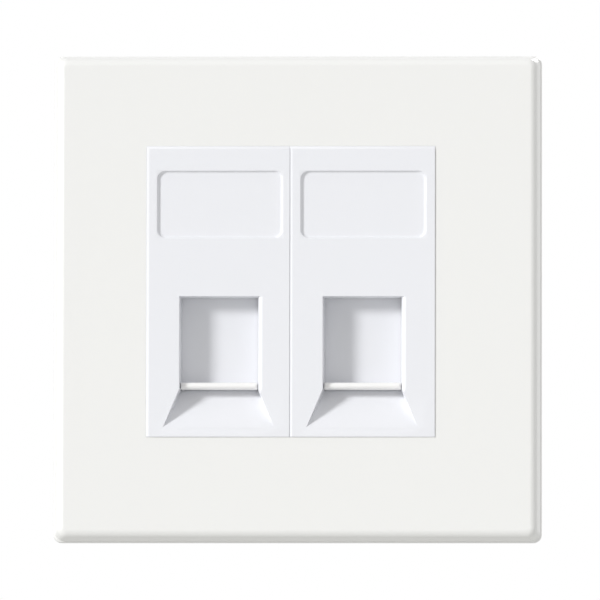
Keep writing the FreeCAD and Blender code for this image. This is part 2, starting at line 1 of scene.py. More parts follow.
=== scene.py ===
"""Keystone faceplate: a square wall plate with two shuttered data outlets and the jacks behind them.

X runs to the right, Y from the room into the wall, Z up. The wall plane is Y = 0.
"""
import math

import bmesh
import bpy
from mathutils import Matrix, Vector


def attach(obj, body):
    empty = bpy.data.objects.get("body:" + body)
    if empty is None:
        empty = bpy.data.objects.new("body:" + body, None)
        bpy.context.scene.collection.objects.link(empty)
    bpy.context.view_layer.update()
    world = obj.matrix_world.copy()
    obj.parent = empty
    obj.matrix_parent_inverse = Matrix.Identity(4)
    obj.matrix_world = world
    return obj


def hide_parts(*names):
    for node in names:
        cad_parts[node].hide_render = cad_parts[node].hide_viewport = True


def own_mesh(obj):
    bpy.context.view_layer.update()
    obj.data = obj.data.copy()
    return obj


bl_info = {
    "name": "Keystone faceplate",
    "version": (1, 0, 0),
    "blender": (4, 5, 0),
    "location": "View3D > Sidebar > Faceplate",
    "description": "Dresses the packed solids of a two-outlet keystone faceplate",
    "category": "Add Mesh",
}

MM = 0.001
FINISHES = {}
SIDES = ("left", "right")

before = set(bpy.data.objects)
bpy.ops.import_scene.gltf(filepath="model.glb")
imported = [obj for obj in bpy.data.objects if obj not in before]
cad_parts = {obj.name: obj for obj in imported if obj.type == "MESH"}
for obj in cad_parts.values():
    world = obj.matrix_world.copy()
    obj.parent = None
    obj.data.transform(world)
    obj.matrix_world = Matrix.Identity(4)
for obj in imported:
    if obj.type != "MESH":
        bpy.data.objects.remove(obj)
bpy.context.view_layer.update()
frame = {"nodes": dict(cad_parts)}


# ---------------------------------------------------------------- settings
def length(name, description, millimetres):
    return bpy.props.FloatProperty(name=name, description=description, default=millimetres * MM,
                                   unit="LENGTH", subtype="DISTANCE", precision=5)


def angle(name, description, degrees):
    return bpy.props.FloatProperty(name=name, description=description,
                                   default=math.radians(degrees), unit="ROTATION", subtype="ANGLE")


def number(name, description, value):
    return bpy.props.FloatProperty(name=name, description=description, default=value, min=0.0)


def count(name, description, value):
    return bpy.props.IntProperty(name=name, description=description, default=value, min=1)


def toward(name, description, value):
    return bpy.props.FloatVectorProperty(name=name, description=description, default=value,
                                         subtype="XYZ")


def paint(name, description, value):
    """A colour written as sRGB hex and kept as linear light."""
    return bpy.props.FloatVectorProperty(name=name, description=description, size=4,
                                         default=linear(value), subtype="COLOR", min=0.0, max=1.0)


def linear(value):
    """Turn an sRGB hex colour such as "#F2F1EE" into linear light with full alpha."""
    levels = [int(value[k:k + 2], 16) / 255 for k in (1, 3, 5)]
    return tuple(v / 12.92 if v <= 0.04045 else ((v + 0.055) / 1.055) ** 2.4
                 for v in levels) + (1.0,)


class StageSettings(bpy.types.PropertyGroup):
    """Camera, lamps and surroundings."""
    distance: length("Distance", "From the lens to the wall plane", 2400.0)
    right: angle("From the right", "How far the camera stands to the right", 1.5)
    below: angle("From below", "How far the camera stands below the middle", 4.5)
    roll: angle("Roll", "Turn of the camera about its line of sight", 0.1)
    aim_right: length("Aim right", "Where the camera aims, from the middle of the plate", 0.37)
    aim_down: length("Aim down", "How far below the middle of the plate the camera aims", 0.07)
    lens: number("Lens", "Focal length in millimetres on a 36 mm sensor", 820.5)
    key: number("Key lamp", "Light square to the key lamp", 2.265)
    key_spread: angle("Key spread", "Apparent size of the key lamp, which softens shadows", 13.0)
    rear: number("Rear lamp", "Light square to the rear lamp", 0.41)
    sky: number("Sky", "Level of the light from all around", 0.553)
    ring: number("Ring", "How much weaker that light is straight in front and behind", 0.222)
    lean: toward("Lean", "How much stronger it is towards the right, the wall and above",
                 (0.222, -0.009, 0.183))
    key_from: toward("Key from", "Where the key lamp shines from", (-1.243, -1.0, 0.495))
    rear_from: toward("Rear from", "Where the rear lamp shines from", (0.25, 0.87, 0.42))
    floor_drop: length("Floor drop", "How far the floor lies below the plate's middle", 300.0)
    floor_side: length("Floor side", "Side of the square floor", 4000.0)


class PlateSizes(bpy.types.PropertyGroup):
    """Front plate, outside sizes first."""
    width: length("Width", "Side of the square plate", 86.0)
    depth: length("Depth", "Wall to face", 4.6)
    draft: length("Draft", "How much each side leans in towards the face", 1.0)
    corner: length("Corner radius", "Radius of the four corners", 1.5)
    corner_steps: count("Corner steps", "Facets of each corner", 10)
    edge: length("Edge radius", "Radius round the face", 1.1)
    edge_steps: count("Edge steps", "Facets of that edge", 8)
    skin: length("Skin", "Thickness of face and sides", 1.4)
    line_out: length("Line out", "Shadow line round the sides from the wall", 1.05)
    line_wide: length("Line width", "Width of that line", 0.8)
    line_deep: length("Line depth", "Depth of that line", 0.45)
    window_wide: length("Window width", "Opening for the modules", 50.785)
    window_tall: length("Window height", "Opening for the modules", 51.28)
    window_right: length("Window right", "Window's middle from the plate's", -1.1765)
    window_up: length("Window up", "Window's middle from the plate's", 1.085)
    window_edge: length("Window edge", "Rounding of the window's rim", 0.04)
    window_steps: count("Window steps", "Facets of that rim", 3)
    collar_wall: length("Collar wall", "Rib round the window that rests on the frame", 1.4)
    collar_tall: length("Collar height", "From the skin to the frame", 0.6)
    notch_half: length("Notch", "Half height of the collar's notches for screw heads", 3.9)
    rib_half: length("Rib", "Half length of the ribs that clip behind the frame", 7.0)
    rib_reach: length("Rib reach", "Tip of a rib from the middle of the plate", 40.1)
    rib_low: length("Rib low", "Back of a rib from the wall", 0.15)
    rib_high: length("Rib high", "Front of a rib from the wall", 0.85)


class BezelSizes(bpy.types.PropertyGroup):
    """Module front with its label recess, mouth and finger ramp."""
    right: length("Modules right", "Middle of both modules from the plate's", -1.134)
    up: length("Modules up", "Middle of both modules from the plate's", 1.02)
    pitch: length("Pitch", "From one module to the next", 25.22)
    out: length("Face", "Wall plane to face", 4.78)
    side_left: length("Left side", "Flange's left side from the module's middle", 12.82)
    side_right: length("Right side", "Flange's right side from the module's middle", 12.40)
    side_end: length("End side", "The same for the right module, whose margin is wider", 12.735)
    side_top: length("Top side", "Flange's top from the module's middle", 25.70)
    side_bottom: length("Bottom side", "Flange's bottom from the module's middle", 25.57)
    ease_wide: length("Ease width", "Width of the slope at the flange's left and top", 0.5)
    ease_deep: length("Ease depth", "Drop of that slope", 0.14)
    edge: length("Edge", "Rounding of the flange's sides", 0.03)
    edge_steps: count("Edge steps", "Facets of that rounding", 4)
    flange: length("Flange", "Back of the flange from the wall", 2.6)
    tub_wide: length("Tub width", "Box behind the flange", 23.7)
    tub_tall: length("Tub height", "Box behind the flange", 45.2)
    tub_wall: length("Tub wall", "Wall of the box", 1.0)
    tub_back: length("Tub back", "How far the box reaches behind the wall plane", 7.0)
    label_right: length("Label right", "Recess's middle from the module's", 0.13)
    label_wide: length("Label width", "Recess at the face", 22.1)
    label_top: length("Label top", "Upper edge at the face", 21.32)
    label_bottom: length("Label bottom", "Lower edge at the face", 9.49)
    label_corner: length("Label corner", "Corner radius at the face", 1.5)
    label_foot: length("Label foot", "Width of the hollow rounding at the recess's floor", 0.5)
    label_deep: length("Label depth", "Depth of the recess", 0.5)
    label_rim: length("Label rim", "Band of face remade round the recess", 0.25)
    mouth_wide: length("Mouth width", "Opening over the shutter", 13.9)
    mouth_top: length("Mouth top", "Upper edge of the opening", -0.81)
    mouth_bottom: length("Mouth bottom", "Lower edge of the opening", -17.12)
    mouth_draft: length("Mouth draft", "How much both sides of the opening lean in", 0.2)
    mouth_wall: length("Mouth wall", "Wall of the opening", 1.3)
    mouth_back: length("Mouth back", "Gap between the walls and the shutter plane", 0.05)
    mouth_edge: length("Mouth edge", "Rounding of the opening's left rim", 0.12)
    mouth_ease: length("Mouth ease", "Rounding of the opening's right rim", 0.8)
    mouth_steps: count("Mouth steps", "Facets of both roundings", 6)
    ramp_deep: length("Ramp depth", "Depth of the finger ramp at the mouth", 4.6)
    ramp_bottom: length("Ramp foot", "Lower end of the ramp", -23.9)
    ramp_half: length("Ramp half width", "Half width of the ramp at its foot", 9.8)
    clip_half: length("Clip half width", "Windows for the holder's hooks", 2.7)
    clip_front: length("Clip front", "Front of those windows behind the wall plane", 3.4)
    clip_back: length("Clip back", "Back of those windows behind the wall plane", 5.3)
    rail_gap: length("Rail gap", "Play of the shutter on each side", 0.15)
    rail_wide: length("Rail width", "Width of the shutter's rails", 1.2)
    rail_back: length("Rail back", "Back of the rails behind the wall plane", 1.7)
    rail_top: length("Rail top", "Upper end of the rails", 20.9)
    rail_bottom: length("Rail bottom", "Lower end of the rails", -19.5)
    stop_front: length("Stop front", "Front of the stop under the shutter from the wall", 0.35)
    stop_lap: length("Stop lap", "How far the stop reaches into the rails", 0.05)
    seat_low: length("Seat", "Underside of the spring's seat", 20.4)
    seat_half: length("Seat half width", "Half width of that seat", 2.6)
    barb_half: length("Barb half width", "Clips that grip the back of the frame", 4.0)
    barb_front: length("Barb front", "Their front behind the wall plane", 0.05)
    barb_back: length("Barb back", "Their rear end", 2.2)
    barb_reach: length("Barb reach", "How far they stand out", 0.7)


class ShutterSizes(bpy.types.PropertyGroup):
    """Sliding shutter."""
    half: length("Half width", "Half width of the plate", 8.6)
    front: length("Front", "Front of the plate behind the wall plane", 0.1)
    thick: length("Thickness", "Thickness of the plate", 1.4)
    bottom: length("Bottom", "Lower end when shut", -17.9)
    top: length("Top", "Upper end when shut", 2.6)
    lip_half: length("Lip half width", "Half width of the finger lip at its root", 6.58)
    lip_flare: length("Lip flare", "How much wider each side is at the front", 0.22)
    lip_top: length("Lip top", "Upper side of the lip", -15.9)
    lip_bottom: length("Lip bottom", "Lower side of the lip", -17.08)
    lip_out: length("Lip out", "Front of the lip from the wall plane", 3.7)
    lip_round: length("Lip rounding", "Radius of the lip's front", 0.5)
    lip_steps: count("Lip steps", "Facets of that radius", 5)
    shelf_half: length("Shelf half width", "Shelf under the spring", 2.4)
    shelf_thick: length("Shelf thickness", "Shelf under the spring", 1.0)
    shelf_out: length("Shelf out", "Front of the shelf from the wall plane", 1.9)
    peg_radius: length("Peg radius", "Pegs that centre the spring", 0.9)
    peg_long: length("Peg length", "Pegs that centre the spring", 1.2)
    peg_out: length("Peg out", "Pegs' axis from the wall plane", 0.3)


class ScrewSizes(bpy.types.PropertyGroup):
    """Thread of the two box screws."""
    spacing: length("Spacing", "Between the two screws' axes", 60.3)
    neck: length("Neck", "Radius of the plain neck", 1.55)
    core: length("Core", "Radius under the thread", 1.38)
    crest: length("Crest", "Radius over the thread", 1.75)
    pitch: length("Pitch", "From one crest to the next", 0.6)
    start: length("Start", "First turn behind the wall plane", 0.35)
    end: length("End", "Last turn behind the wall plane", 22.6)
    edge: length("Edge", "Rounding of head and slot", 0.12)


class SpringSizes(bpy.types.PropertyGroup):
    """Compression springs above the shutters."""
    radius: length("Radius", "Coil's middle line", 1.4)
    wire: length("Wire", "Radius of the wire", 0.2)
    bottom: length("Bottom", "Lower end from the module's middle", 2.6)
    top: length("Top", "Upper end from the module's middle", 20.4)
    turns: count("Turns", "Turns that work", 6)
    closed: number("Closed", "Rise of a closed end turn, in radii of the wire", 2.2)
    squeezed: number("Squeezed", "Share of the length left when the shutter is up", 0.24)


class EasedSizes(bpy.types.PropertyGroup):
    """Rounding of the edges that the pieces' own steps leave sharp."""
    plate: length("Plate", "Back and ribs of the front plate", 0.1)
    bezel: length("Bezels", "Tubs and inner parts of the module fronts", 0.07)
    shutter: length("Shutters", "Plates and shelves of the shutters", 0.08)
    frame: length("Frame", "Mounting frame", 0.2)
    holder: length("Holder", "Keystone holders", 0.12)
    jack: length("Jack", "Jack housings", 0.1)
    carrier: length("Carrier", "Contact carriers", 0.05)
    wires: length("Wires", "Contact wires", 0.04)
    board: length("Board", "Circuit boards", 0.02)
    block: length("Block", "Terminal blocks", 0.1)
    terminals: length("Terminals", "Slit terminals", 0.03)
    cap: length("Cap", "Wire caps", 0.2)


class FinishColours(bpy.types.PropertyGroup):
    """Base colours of the mouldings, metals and board."""
    plate: paint("Plate", "Urea moulding of the front plate", "#EFEFED")
    bezel: paint("Bezels", "ABS of the module fronts", "#EBECF0")
    shutter: paint("Shutters", "ABS of the sliding shutters", "#E7E8EC")
    # Painted light: the same ABS as the shutters, painted paler where the lip stands forward and
    # catches more light
    lip: paint("Lips", "Where fingers lift the shutters", "#F7F6F5")
    frame: paint("Frame", "Nylon of the mounting frame", "#E6E4DC")
    holder: paint("Holders", "ABS of the keystone holders", "#E9EAEA")
    jack: paint("Jacks", "Polycarbonate of the jack housings", "#EDEEEF")
    carrier: paint("Carriers", "PBT of the contact carriers", "#2B2C2E")
    block: paint("Terminal blocks", "Polycarbonate of the terminal blocks", "#E4E6E8")
    cap: paint("Wire caps", "Polycarbonate of the wire caps", "#DDE3E8")
    board: paint("Boards", "Solder mask over the glass laminate", "#1F5A36")
    laminate: paint("Laminate", "Sawn edge of the boards", "#B9A878")
    floor: paint("Floor", "Plain painted floor", "#DDDDDB")
    zinc: paint("Zinc", "Bright zinc plating of the box screws", "#C9CCD0")
    steel: paint("Spring steel", "Drawn wire of the shutter springs", "#A9ABAE")
    gold: paint("Gold", "Gold flash on the contact wires", "#E0B763")
    bronze: paint("Tinned bronze", "Slit terminals", "#C2BDB2")


class FaceplateSettings(bpy.types.PropertyGroup):
    stage: bpy.props.PointerProperty(type=StageSettings)
    plate: bpy.props.PointerProperty(type=PlateSizes)
    bezel: bpy.props.PointerProperty(type=BezelSizes)
    shutter: bpy.props.PointerProperty(type=ShutterSizes)
    screw: bpy.props.PointerProperty(type=ScrewSizes)
    spring: bpy.props.PointerProperty(type=SpringSizes)
    eased: bpy.props.PointerProperty(type=EasedSizes)
    colours: bpy.props.PointerProperty(type=FinishColours)


# ---------------------------------------------------------------- materials
def add_node(tree, kind, settings=None, links=None):
    """Add a node, set its properties or sockets by name or number, and link its inputs."""
    node = tree.nodes.new(kind)
    for key, value in (settings or {}).items():
        if isinstance(key, int) or key in node.inputs:
            node.inputs[key].default_value = value
        else:
            setattr(node, key, value)
    for key, source in (links or {}).items():
        tree.links.new(source, node.inputs[key])
    return node


def shade(colour, factor):
    """A darker or lighter version of a linear colour."""
    return tuple(min(1.0, channel * factor) for channel in colour[:3]) + (1.0,)


def new_material(name):
    material = bpy.data.materials.new(name)
    material.use_nodes = True
    material.node_tree.nodes.clear()
    return material, material.node_tree


def close_material(tree, colour, gloss, relief, height, **shader):
    """Principled surface from a colour, a roughness range over a factor, and a relief."""
    low, high, factor = gloss
    polish = add_node(tree, "ShaderNodeMapRange", {"To Min": low, "To Max": high},
                      {"Value": factor})
    bumped = add_node(tree, "ShaderNodeBump", {"Strength": 1.0, "Distance": height},
                      {"Height": relief})
    surface = add_node(tree, "ShaderNodeBsdfPrincipled", shader,
                       {"Base Color": colour, "Roughness": polish.outputs["Result"],
                        "Normal": bumped.outputs["Normal"]})
    add_node(tree, "ShaderNodeOutputMaterial", links={"Surface": surface.outputs["BSDF"]})


def moulded(name, colour, mottle, mottle_size, grain_size, grain_height, gloss, **shader):
    """Moulded plastic: a slow drift of tone, a fine skin and a gloss that varies with both."""
    material, tree = new_material(name)
    place = add_node(tree, "ShaderNodeTexCoord").outputs["Object"]
    drift = add_node(tree, "ShaderNodeTexNoise", {"Scale": 1 / mottle_size, "Detail": 3.0,
                                                  "Roughness": 0.5}, {"Vector": place})
    tone = add_node(tree, "ShaderNodeMix", {"data_type": "RGBA", 6: shade(colour, 1 - mottle),
                                            7: shade(colour, 1 + mottle)},
                    {0: drift.outputs["Fac"]})
    skin = add_node(tree, "ShaderNodeTexNoise", {"Scale": 1 / grain_size, "Detail": 3.0,
                                                 "Distortion": 0.3}, {"Vector": place})
    worn = add_node(tree, "ShaderNodeMath", {"operation": "MULTIPLY"},
                    {0: drift.outputs["Fac"], 1: skin.outputs["Fac"]})
    close_material(tree, tone.outputs[2], (*gloss, worn.outputs[0]), skin.outputs["Fac"],
                   grain_height, **shader)
    return material


def urea(colours):
    # Pressed urea has a hard glossy skin with a long, hardly visible orange peel
    return moulded("urea_moulding", colours.plate, 0.004, 26 * MM, 2.6 * MM, 0.004 * MM,
                   (0.28, 0.40), IOR=1.55)


def abs_bezel(colours):
    # The bezel's tool is spark eroded, so a grain of about 0.1 mm takes the gloss off the ABS
    return moulded("abs_bezel", colours.bezel, 0.004, 14 * MM, 0.12 * MM, 0.0025 * MM,
                   (0.42, 0.54), IOR=1.54)


def abs_shutter(colours, sizes):
    """Satin ABS with the rails' rub marks up and down, and a finger lip painted paler as painted
    light.
    """
    material, tree = new_material("abs_shutter")
    place = add_node(tree, "ShaderNodeTexCoord").outputs["Object"]
    # Sliding up and down draws faint upright scratches over the plate
    rubbed = add_node(tree, "ShaderNodeMapping", {"Scale": (1 / (0.25 * MM), 1 / (0.25 * MM),
                                                            1 / (9 * MM))}, {"Vector": place})
    scratch = add_node(tree, "ShaderNodeTexNoise", {"Scale": 1.0, "Detail": 3.0},
                       {"Vector": rubbed.outputs["Vector"]})
    # Painted light: the lip stands clear of the plate and catches more light, so it gets a paler
    # copy of the same ABS colour
    depth = add_node(tree, "ShaderNodeSeparateXYZ", links={"Vector": place}).outputs["Y"]
    lip_painted_light = add_node(tree, "ShaderNodeMapRange", {"From Min": -sizes.front, "From Max":
                                                    -sizes.lip_out / 2}, {"Value": depth})
    tone = add_node(tree, "ShaderNodeMix", {"data_type": "RGBA", 6: tuple(colours.shutter),
                                            7: tuple(colours.lip)},
                    {0: lip_painted_light.outputs["Result"]})
    close_material(tree, tone.outputs[2], (0.36, 0.50, scratch.outputs["Fac"]),
                   scratch.outputs["Fac"], 0.002 * MM, IOR=1.54)
    return material


def nylon(colours):
    # Glass-filled nylon: swirls left by the flow of the melt and a dull, slightly pitted skin
    return moulded("nylon_frame", colours.frame, 0.045, 7 * MM, 0.3 * MM, 0.012 * MM,
                   (0.46, 0.66), IOR=1.53)


def metal(name, colour, cells, tone_range, streak, gloss, height):
    """Plated or drawn metal: patches of tone, fine streaks and a gloss that follows both."""
    material, tree = new_material(name)
    place = add_node(tree, "ShaderNodeTexCoord").outputs["Object"]
    patch = add_node(tree, "ShaderNodeTexVoronoi", {"Scale": 1 / cells, "Randomness": 1.0},
                     {"Vector": place})
    level = add_node(tree, "ShaderNodeSeparateColor", links={"Color": patch.outputs["Color"]})
    tone = add_node(tree, "ShaderNodeMix", {"data_type": "RGBA",
                                            6: shade(colour, 1 - tone_range),
                                            7: shade(colour, 1 + tone_range)},
                    {0: level.outputs[0]})
    drawn = add_node(tree, "ShaderNodeMapping", {"Scale": tuple(1 / size for size in streak)},
                     {"Vector": place})
    line = add_node(tree, "ShaderNodeTexNoise", {"Scale": 1.0, "Detail": 4.0,
                                                 "Roughness": 0.65},
                    {"Vector": drawn.outputs["Vector"]})
    close_material(tree, tone.outputs[2], (*gloss, line.outputs["Fac"]), line.outputs["Fac"],
                   height, Metallic=1.0)
    return material


def zinc(colours):
    # Zinc plating crystallises in small patches that reflect a little more or less
    return metal("zinc_plated_steel", colours.zinc, 0.5 * MM, 0.1, (0.2 * MM,) * 3,
                 (0.22, 0.42), 0.002 * MM)


def spring_wire(colours):
    # The draw die leaves fine lines, and oil leaves darker patches along the wire
    return metal("spring_wire", colours.steel, 1.2 * MM, 0.16, (0.08 * MM, 0.08 * MM, 0.3 * MM),
                 (0.2, 0.4), 0.0015 * MM)


def gold_flash(colours):
    # A thin flash over nickel: bright, with a slight unevenness where it is thinnest
    return metal("gold_flash", colours.gold, 0.8 * MM, 0.08, (0.1 * MM, 1.5 * MM, 0.1 * MM),
                 (0.14, 0.3), 0.001 * MM)


def tinned_bronze(colours):
    # Tin dipped after stamping: matt, with the strip's rolling lines still showing through
    return metal("tinned_bronze", colours.bronze, 0.6 * MM, 0.12,
                 (0.05 * MM, 1.2 * MM, 0.05 * MM), (0.3, 0.5), 0.002 * MM)


def glass_laminate(colours):
    """Green solder mask over a glass weave, with bare tan laminate on the sawn edges."""
    material, tree = new_material("glass_laminate")
    place = add_node(tree, "ShaderNodeTexCoord").outputs["Object"]
    # The glass cloth prints through the mask as a grid of about two threads a millimetre
    weave = [add_node(tree, "ShaderNodeTexWave", {"bands_direction": way, "Scale": 1 / (3 * MM),
                                                  "Distortion": 0.4}, {"Vector": place})
             for way in ("X", "Z")]
    cloth = add_node(tree, "ShaderNodeMath", {"operation": "MAXIMUM"},
                     {0: weave[0].outputs["Fac"], 1: weave[1].outputs["Fac"]})
    mask = add_node(tree, "ShaderNodeMix", {"data_type": "RGBA", 6: shade(colours.board, 0.85),
                                            7: shade(colours.board, 1.2)},
                    {0: cloth.outputs[0]})
    # Seen edge on, the sawn laminate is straw coloured with a mask film front and back
    square = add_node(tree, "ShaderNodeNewGeometry").outputs["Normal"]
    across = add_node(tree, "ShaderNodeVectorMath", {"operation": "DOT_PRODUCT", 1: (0, 1, 0)},
                      {0: square}).outputs["Value"]
    flat = add_node(tree, "ShaderNodeMath", {"operation": "ABSOLUTE"}, {0: across})
    sawn = add_node(tree, "ShaderNodeMath", {"operation": "LESS_THAN", 1: 0.5},
                    {0: flat.outputs[0]})
    tone = add_node(tree, "ShaderNodeMix", {"data_type": "RGBA", 7: tuple(colours.laminate)},
                    {0: sawn.outputs[0], 6: mask.outputs[2]})
    close_material(tree, tone.outputs[2], (0.22, 0.38, cloth.outputs[0]), cloth.outputs[0],
                   0.006 * MM, IOR=1.5)
    return material


def polycarbonate(name, colour, glow):
    # Polycarbonate lets a little light in below its skin, which softens its edges
    return moulded(name, colour, 0.015, 5 * MM, 0.6 * MM, 0.003 * MM, (0.18, 0.30), IOR=1.585,
                   **{"Subsurface Weight": glow, "Subsurface Radius": (1.0, 1.0, 1.0),
                      "Subsurface Scale": 0.4 * MM})


def pbt(colours):
    # Black PBT with glass fibres: streaky gloss and pale fibre ends at the skin
    return moulded("pbt_carrier", colours.carrier, 0.25, 0.8 * MM, 0.15 * MM, 0.006 * MM,
                   (0.34, 0.56), IOR=1.56)


def abs_holder(colours):
    # An inner moulding from a plainly milled tool, so its skin is duller than the bezel's
    return moulded("abs_holder", colours.holder, 0.012, 9 * MM, 0.35 * MM, 0.008 * MM,
                   (0.44, 0.6), IOR=1.54)


def make_finishes(settings):
    """One material for each slot of the record."""
    colours = settings.colours
    return {
        "plate_urea": urea(colours),
        "bezel_abs": abs_bezel(colours),
        "shutter_abs": abs_shutter(colours, settings.shutter),
        "frame_nylon": nylon(colours),
        "screw_zinc": zinc(colours),
        "spring_steel": spring_wire(colours),
        "holder_abs": abs_holder(colours),
        "jack_polycarbonate": polycarbonate("polycarbonate_jack", colours.jack, 0.12),
        "carrier_pbt": pbt(colours),
        "contact_gold": gold_flash(colours),
        "board_fr4": glass_laminate(colours),
        "block_polycarbonate": polycarbonate("polycarbonate_block", colours.block, 0.12),
        "terminal_bronze": tinned_bronze(colours),
        "cap_polycarbonate": polycarbonate("polycarbonate_cap", colours.cap, 0.3),
    }


# ---------------------------------------------------------------- the stage
def aim(item, place, target, roll=0.0):
    """Put a camera or lamp at a place, looking at a target."""
    turn = (target - place).to_track_quat("-Z", "Y").to_matrix().to_4x4()
    item.matrix_world = Matrix.Translation(place) @ turn @ Matrix.Rotation(roll, 4, "Z")


def add_sun(name, power, spread, place):
    lamp = bpy.data.lights.new(name, "SUN")
    lamp.energy = power
    lamp.angle = spread
    item = bpy.data.objects.new(name, lamp)
    bpy.context.scene.collection.objects.link(item)
    aim(item, Vector(place), Vector((0, 0, 0)))


def light_world(level, ring, lean):
    """Soft light from all around, weaker straight in front and leaning to one side."""
    world = bpy.data.worlds.new("studio")
    bpy.context.scene.world = world
    world.use_nodes = True
    tree = world.node_tree
    tree.nodes.clear()
    place = add_node(tree, "ShaderNodeTexCoord").outputs["Generated"]
    depth = add_node(tree, "ShaderNodeVectorMath", {"operation": "DOT_PRODUCT", 1: (0, 1, 0)},
                     {0: place}).outputs["Value"]
    square = add_node(tree, "ShaderNodeMath", {"operation": "MULTIPLY"}, {0: depth, 1: depth})
    facing = add_node(tree, "ShaderNodeMath", {"operation": "MULTIPLY_ADD", 1: -ring, 2: level},
                      {0: square.outputs[0]})
    side = add_node(tree, "ShaderNodeVectorMath", {"operation": "DOT_PRODUCT", 1: lean},
                    {0: place})
    amount = add_node(tree, "ShaderNodeMath", {"operation": "ADD"},
                      {0: side.outputs["Value"], 1: facing.outputs[0]})
    soft = add_node(tree, "ShaderNodeBackground", {"Color": (1, 1, 1, 1)},
                    {"Strength": amount.outputs[0]})
    white = add_node(tree, "ShaderNodeBackground", {"Color": (1, 1, 1, 1), "Strength": 1.0})
    path = add_node(tree, "ShaderNodeLightPath")
    seen = add_node(tree, "ShaderNodeMath", {"operation": "MAXIMUM"},
                    {0: path.outputs["Is Camera Ray"], 1: path.outputs["Is Glossy Ray"]})
    either = add_node(tree, "ShaderNodeMath", {"operation": "MAXIMUM"},
                      {0: seen.outputs[0], 1: path.outputs["Is Transmission Ray"]})
    mixed = add_node(tree, "ShaderNodeMixShader", links={0: either.outputs[0],
                                                         1: soft.outputs[0],
                                                         2: white.outputs[0]})
    add_node(tree, "ShaderNodeOutputWorld", links={"Surface": mixed.outputs[0]})


def floor_paint(colour):
    """Matt paint that shows from above only, so that the object can be seen from below too."""
    material = moulded("floor_paint", colour, 0.01, 300 * MM, 40 * MM, 0.1 * MM, (0.6, 0.7))
    tree = material.node_tree
    output = next(node for node in tree.nodes if node.type == "OUTPUT_MATERIAL")
    painted = output.inputs["Surface"].links[0].from_socket
    under = add_node(tree, "ShaderNodeNewGeometry").outputs["Backfacing"]
    clear = add_node(tree, "ShaderNodeBsdfTransparent")
    sided = add_node(tree, "ShaderNodeMixShader", links={0: under, 1: painted,
                                                         2: clear.outputs["BSDF"]})
    tree.links.new(sided.outputs["Shader"], output.inputs["Surface"])
    return material


class FACEPLATE_OT_stage(bpy.types.Operator):
    """Set the camera, the lamps, the surroundings and a plain pale floor."""
    bl_idname = "faceplate.stage"
    bl_label = "Stage"

    def execute(self, context):
        stage = context.scene.faceplate.stage
        camera = bpy.data.cameras.new("camera")
        camera.lens = stage.lens
        camera.sensor_width = 36.0
        camera.clip_start = 10 * MM
        camera.clip_end = 100.0
        item = bpy.data.objects.new("camera", camera)
        context.scene.collection.objects.link(item)
        level = math.cos(stage.below)
        sight = Vector((math.sin(stage.right) * level, -math.cos(stage.right) * level,
                        -math.sin(stage.below)))
        aim(item, sight * (stage.distance / -sight.y),
            Vector((stage.aim_right, 0, -stage.aim_down)), stage.roll)
        context.scene.camera = item
        context.scene.view_settings.view_transform = "Standard"
        add_sun("key", stage.key, stage.key_spread, stage.key_from)
        add_sun("rear", stage.rear, stage.key_spread, stage.rear_from)
        light_world(stage.sky, stage.ring, stage.lean)
        bm = bmesh.new()
        bmesh.ops.create_grid(bm, x_segments=1, y_segments=1, size=stage.floor_side / 2)
        bmesh.ops.translate(bm, verts=bm.verts, vec=(0, 0, -stage.floor_drop))
        mesh = bpy.data.meshes.new("floor")
        bm.to_mesh(mesh)
        floor = bpy.data.objects.new("floor", mesh)
        context.scene.collection.objects.link(floor)
        mesh.materials.append(floor_paint(context.scene.faceplate.colours.floor))
        return {"FINISHED"}


# ---------------------------------------------------------------- carried-over solids
SLOT_OF = {"front_plate": "plate_urea", "mounting_frame": "frame_nylon",
           "fixing_screw": "screw_zinc", "module_bezel": "bezel_abs", "shutter": "shutter_abs",
           "shutter_spring": "spring_steel", "keystone_holder": "holder_abs",
           "jack_housing": "jack_polycarbonate", "contact_carrier": "carrier_pbt",
           "contact_wires": "contact_gold", "jack_board": "board_fr4",
           "terminal_block": "block_polycarbonate", "slit_terminals": "terminal_bronze",
           "wire_cap": "cap_polycarbonate"}


class FACEPLATE_OT_solids(bpy.types.Operator):
    """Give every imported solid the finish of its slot."""
    bl_idname = "faceplate.solids"
    bl_label = "Packed solids"

    def execute(self, context):
        FINISHES.update(make_finishes(context.scene.faceplate))
        for start, finish in SLOT_OF.items():
            for name in (n for n in frame["nodes"] if n.startswith(start)):
                node = frame["nodes"][name]
                node.data.materials.clear()
                node.data.materials.append(FINISHES[finish])
        return {"FINISHED"}


# ---------------------------------------------------------------- mesh helpers
WELD = 0.002 * MM       # points nearer than this become one
CLOSE = 0.02 * MM       # play when faces, edges and points are picked by their place
SQUARE = 0.99           # least part of a normal along an axis that counts as square to it
FLAT = math.radians(1)  # faces that meet at less than this are one
SUNK = 0.3 * MM         # how far rails and seat reach into the walls that carry them
PEG_ROOT = 0.2 * MM     # the same for the spring's pegs
INWARD = 0.999          # draws a place on an opening's border inside it
FOOT_STEPS = 6          # steps of the hollow rounding round the label recess
FOOT_RISE = 0.3         # part of the recess's depth that is upright
WIND_STEPS = 24         # steps in one turn of a spring or thread
ROOT_SUNK = 0.05 * MM   # how far a thread's root reaches into the core
CREST_HALF = 0.05       # half width of a thread's crest, as a share of the pitch
ROOT_HALF = 0.46        # the same for its root


def solid_block(bm, low, high):
    """Six-sided block between two corners; returns its vertices."""
    verts = bmesh.ops.create_cube(bm, size=1.0)["verts"]
    low, high = Vector(low), Vector(high)
    bmesh.ops.scale(bm, verts=verts, vec=high - low)
    bmesh.ops.translate(bm, verts=verts, vec=(low + high) / 2)
    return verts


def solid_rod(bm, radius, start, end, segments=24):
    """Round rod between two points."""
    run = Vector(end) - Vector(start)
    place = Matrix.Translation((Vector(start) + Vector(end)) / 2)
    turn = run.to_track_quat("Z", "Y").to_matrix().to_4x4()
    return bmesh.ops.create_cone(bm, cap_ends=True, segments=segments, radius1=radius,
                                 radius2=radius, depth=run.length, matrix=place @ turn)["verts"]


def anywhere(place):
    return True


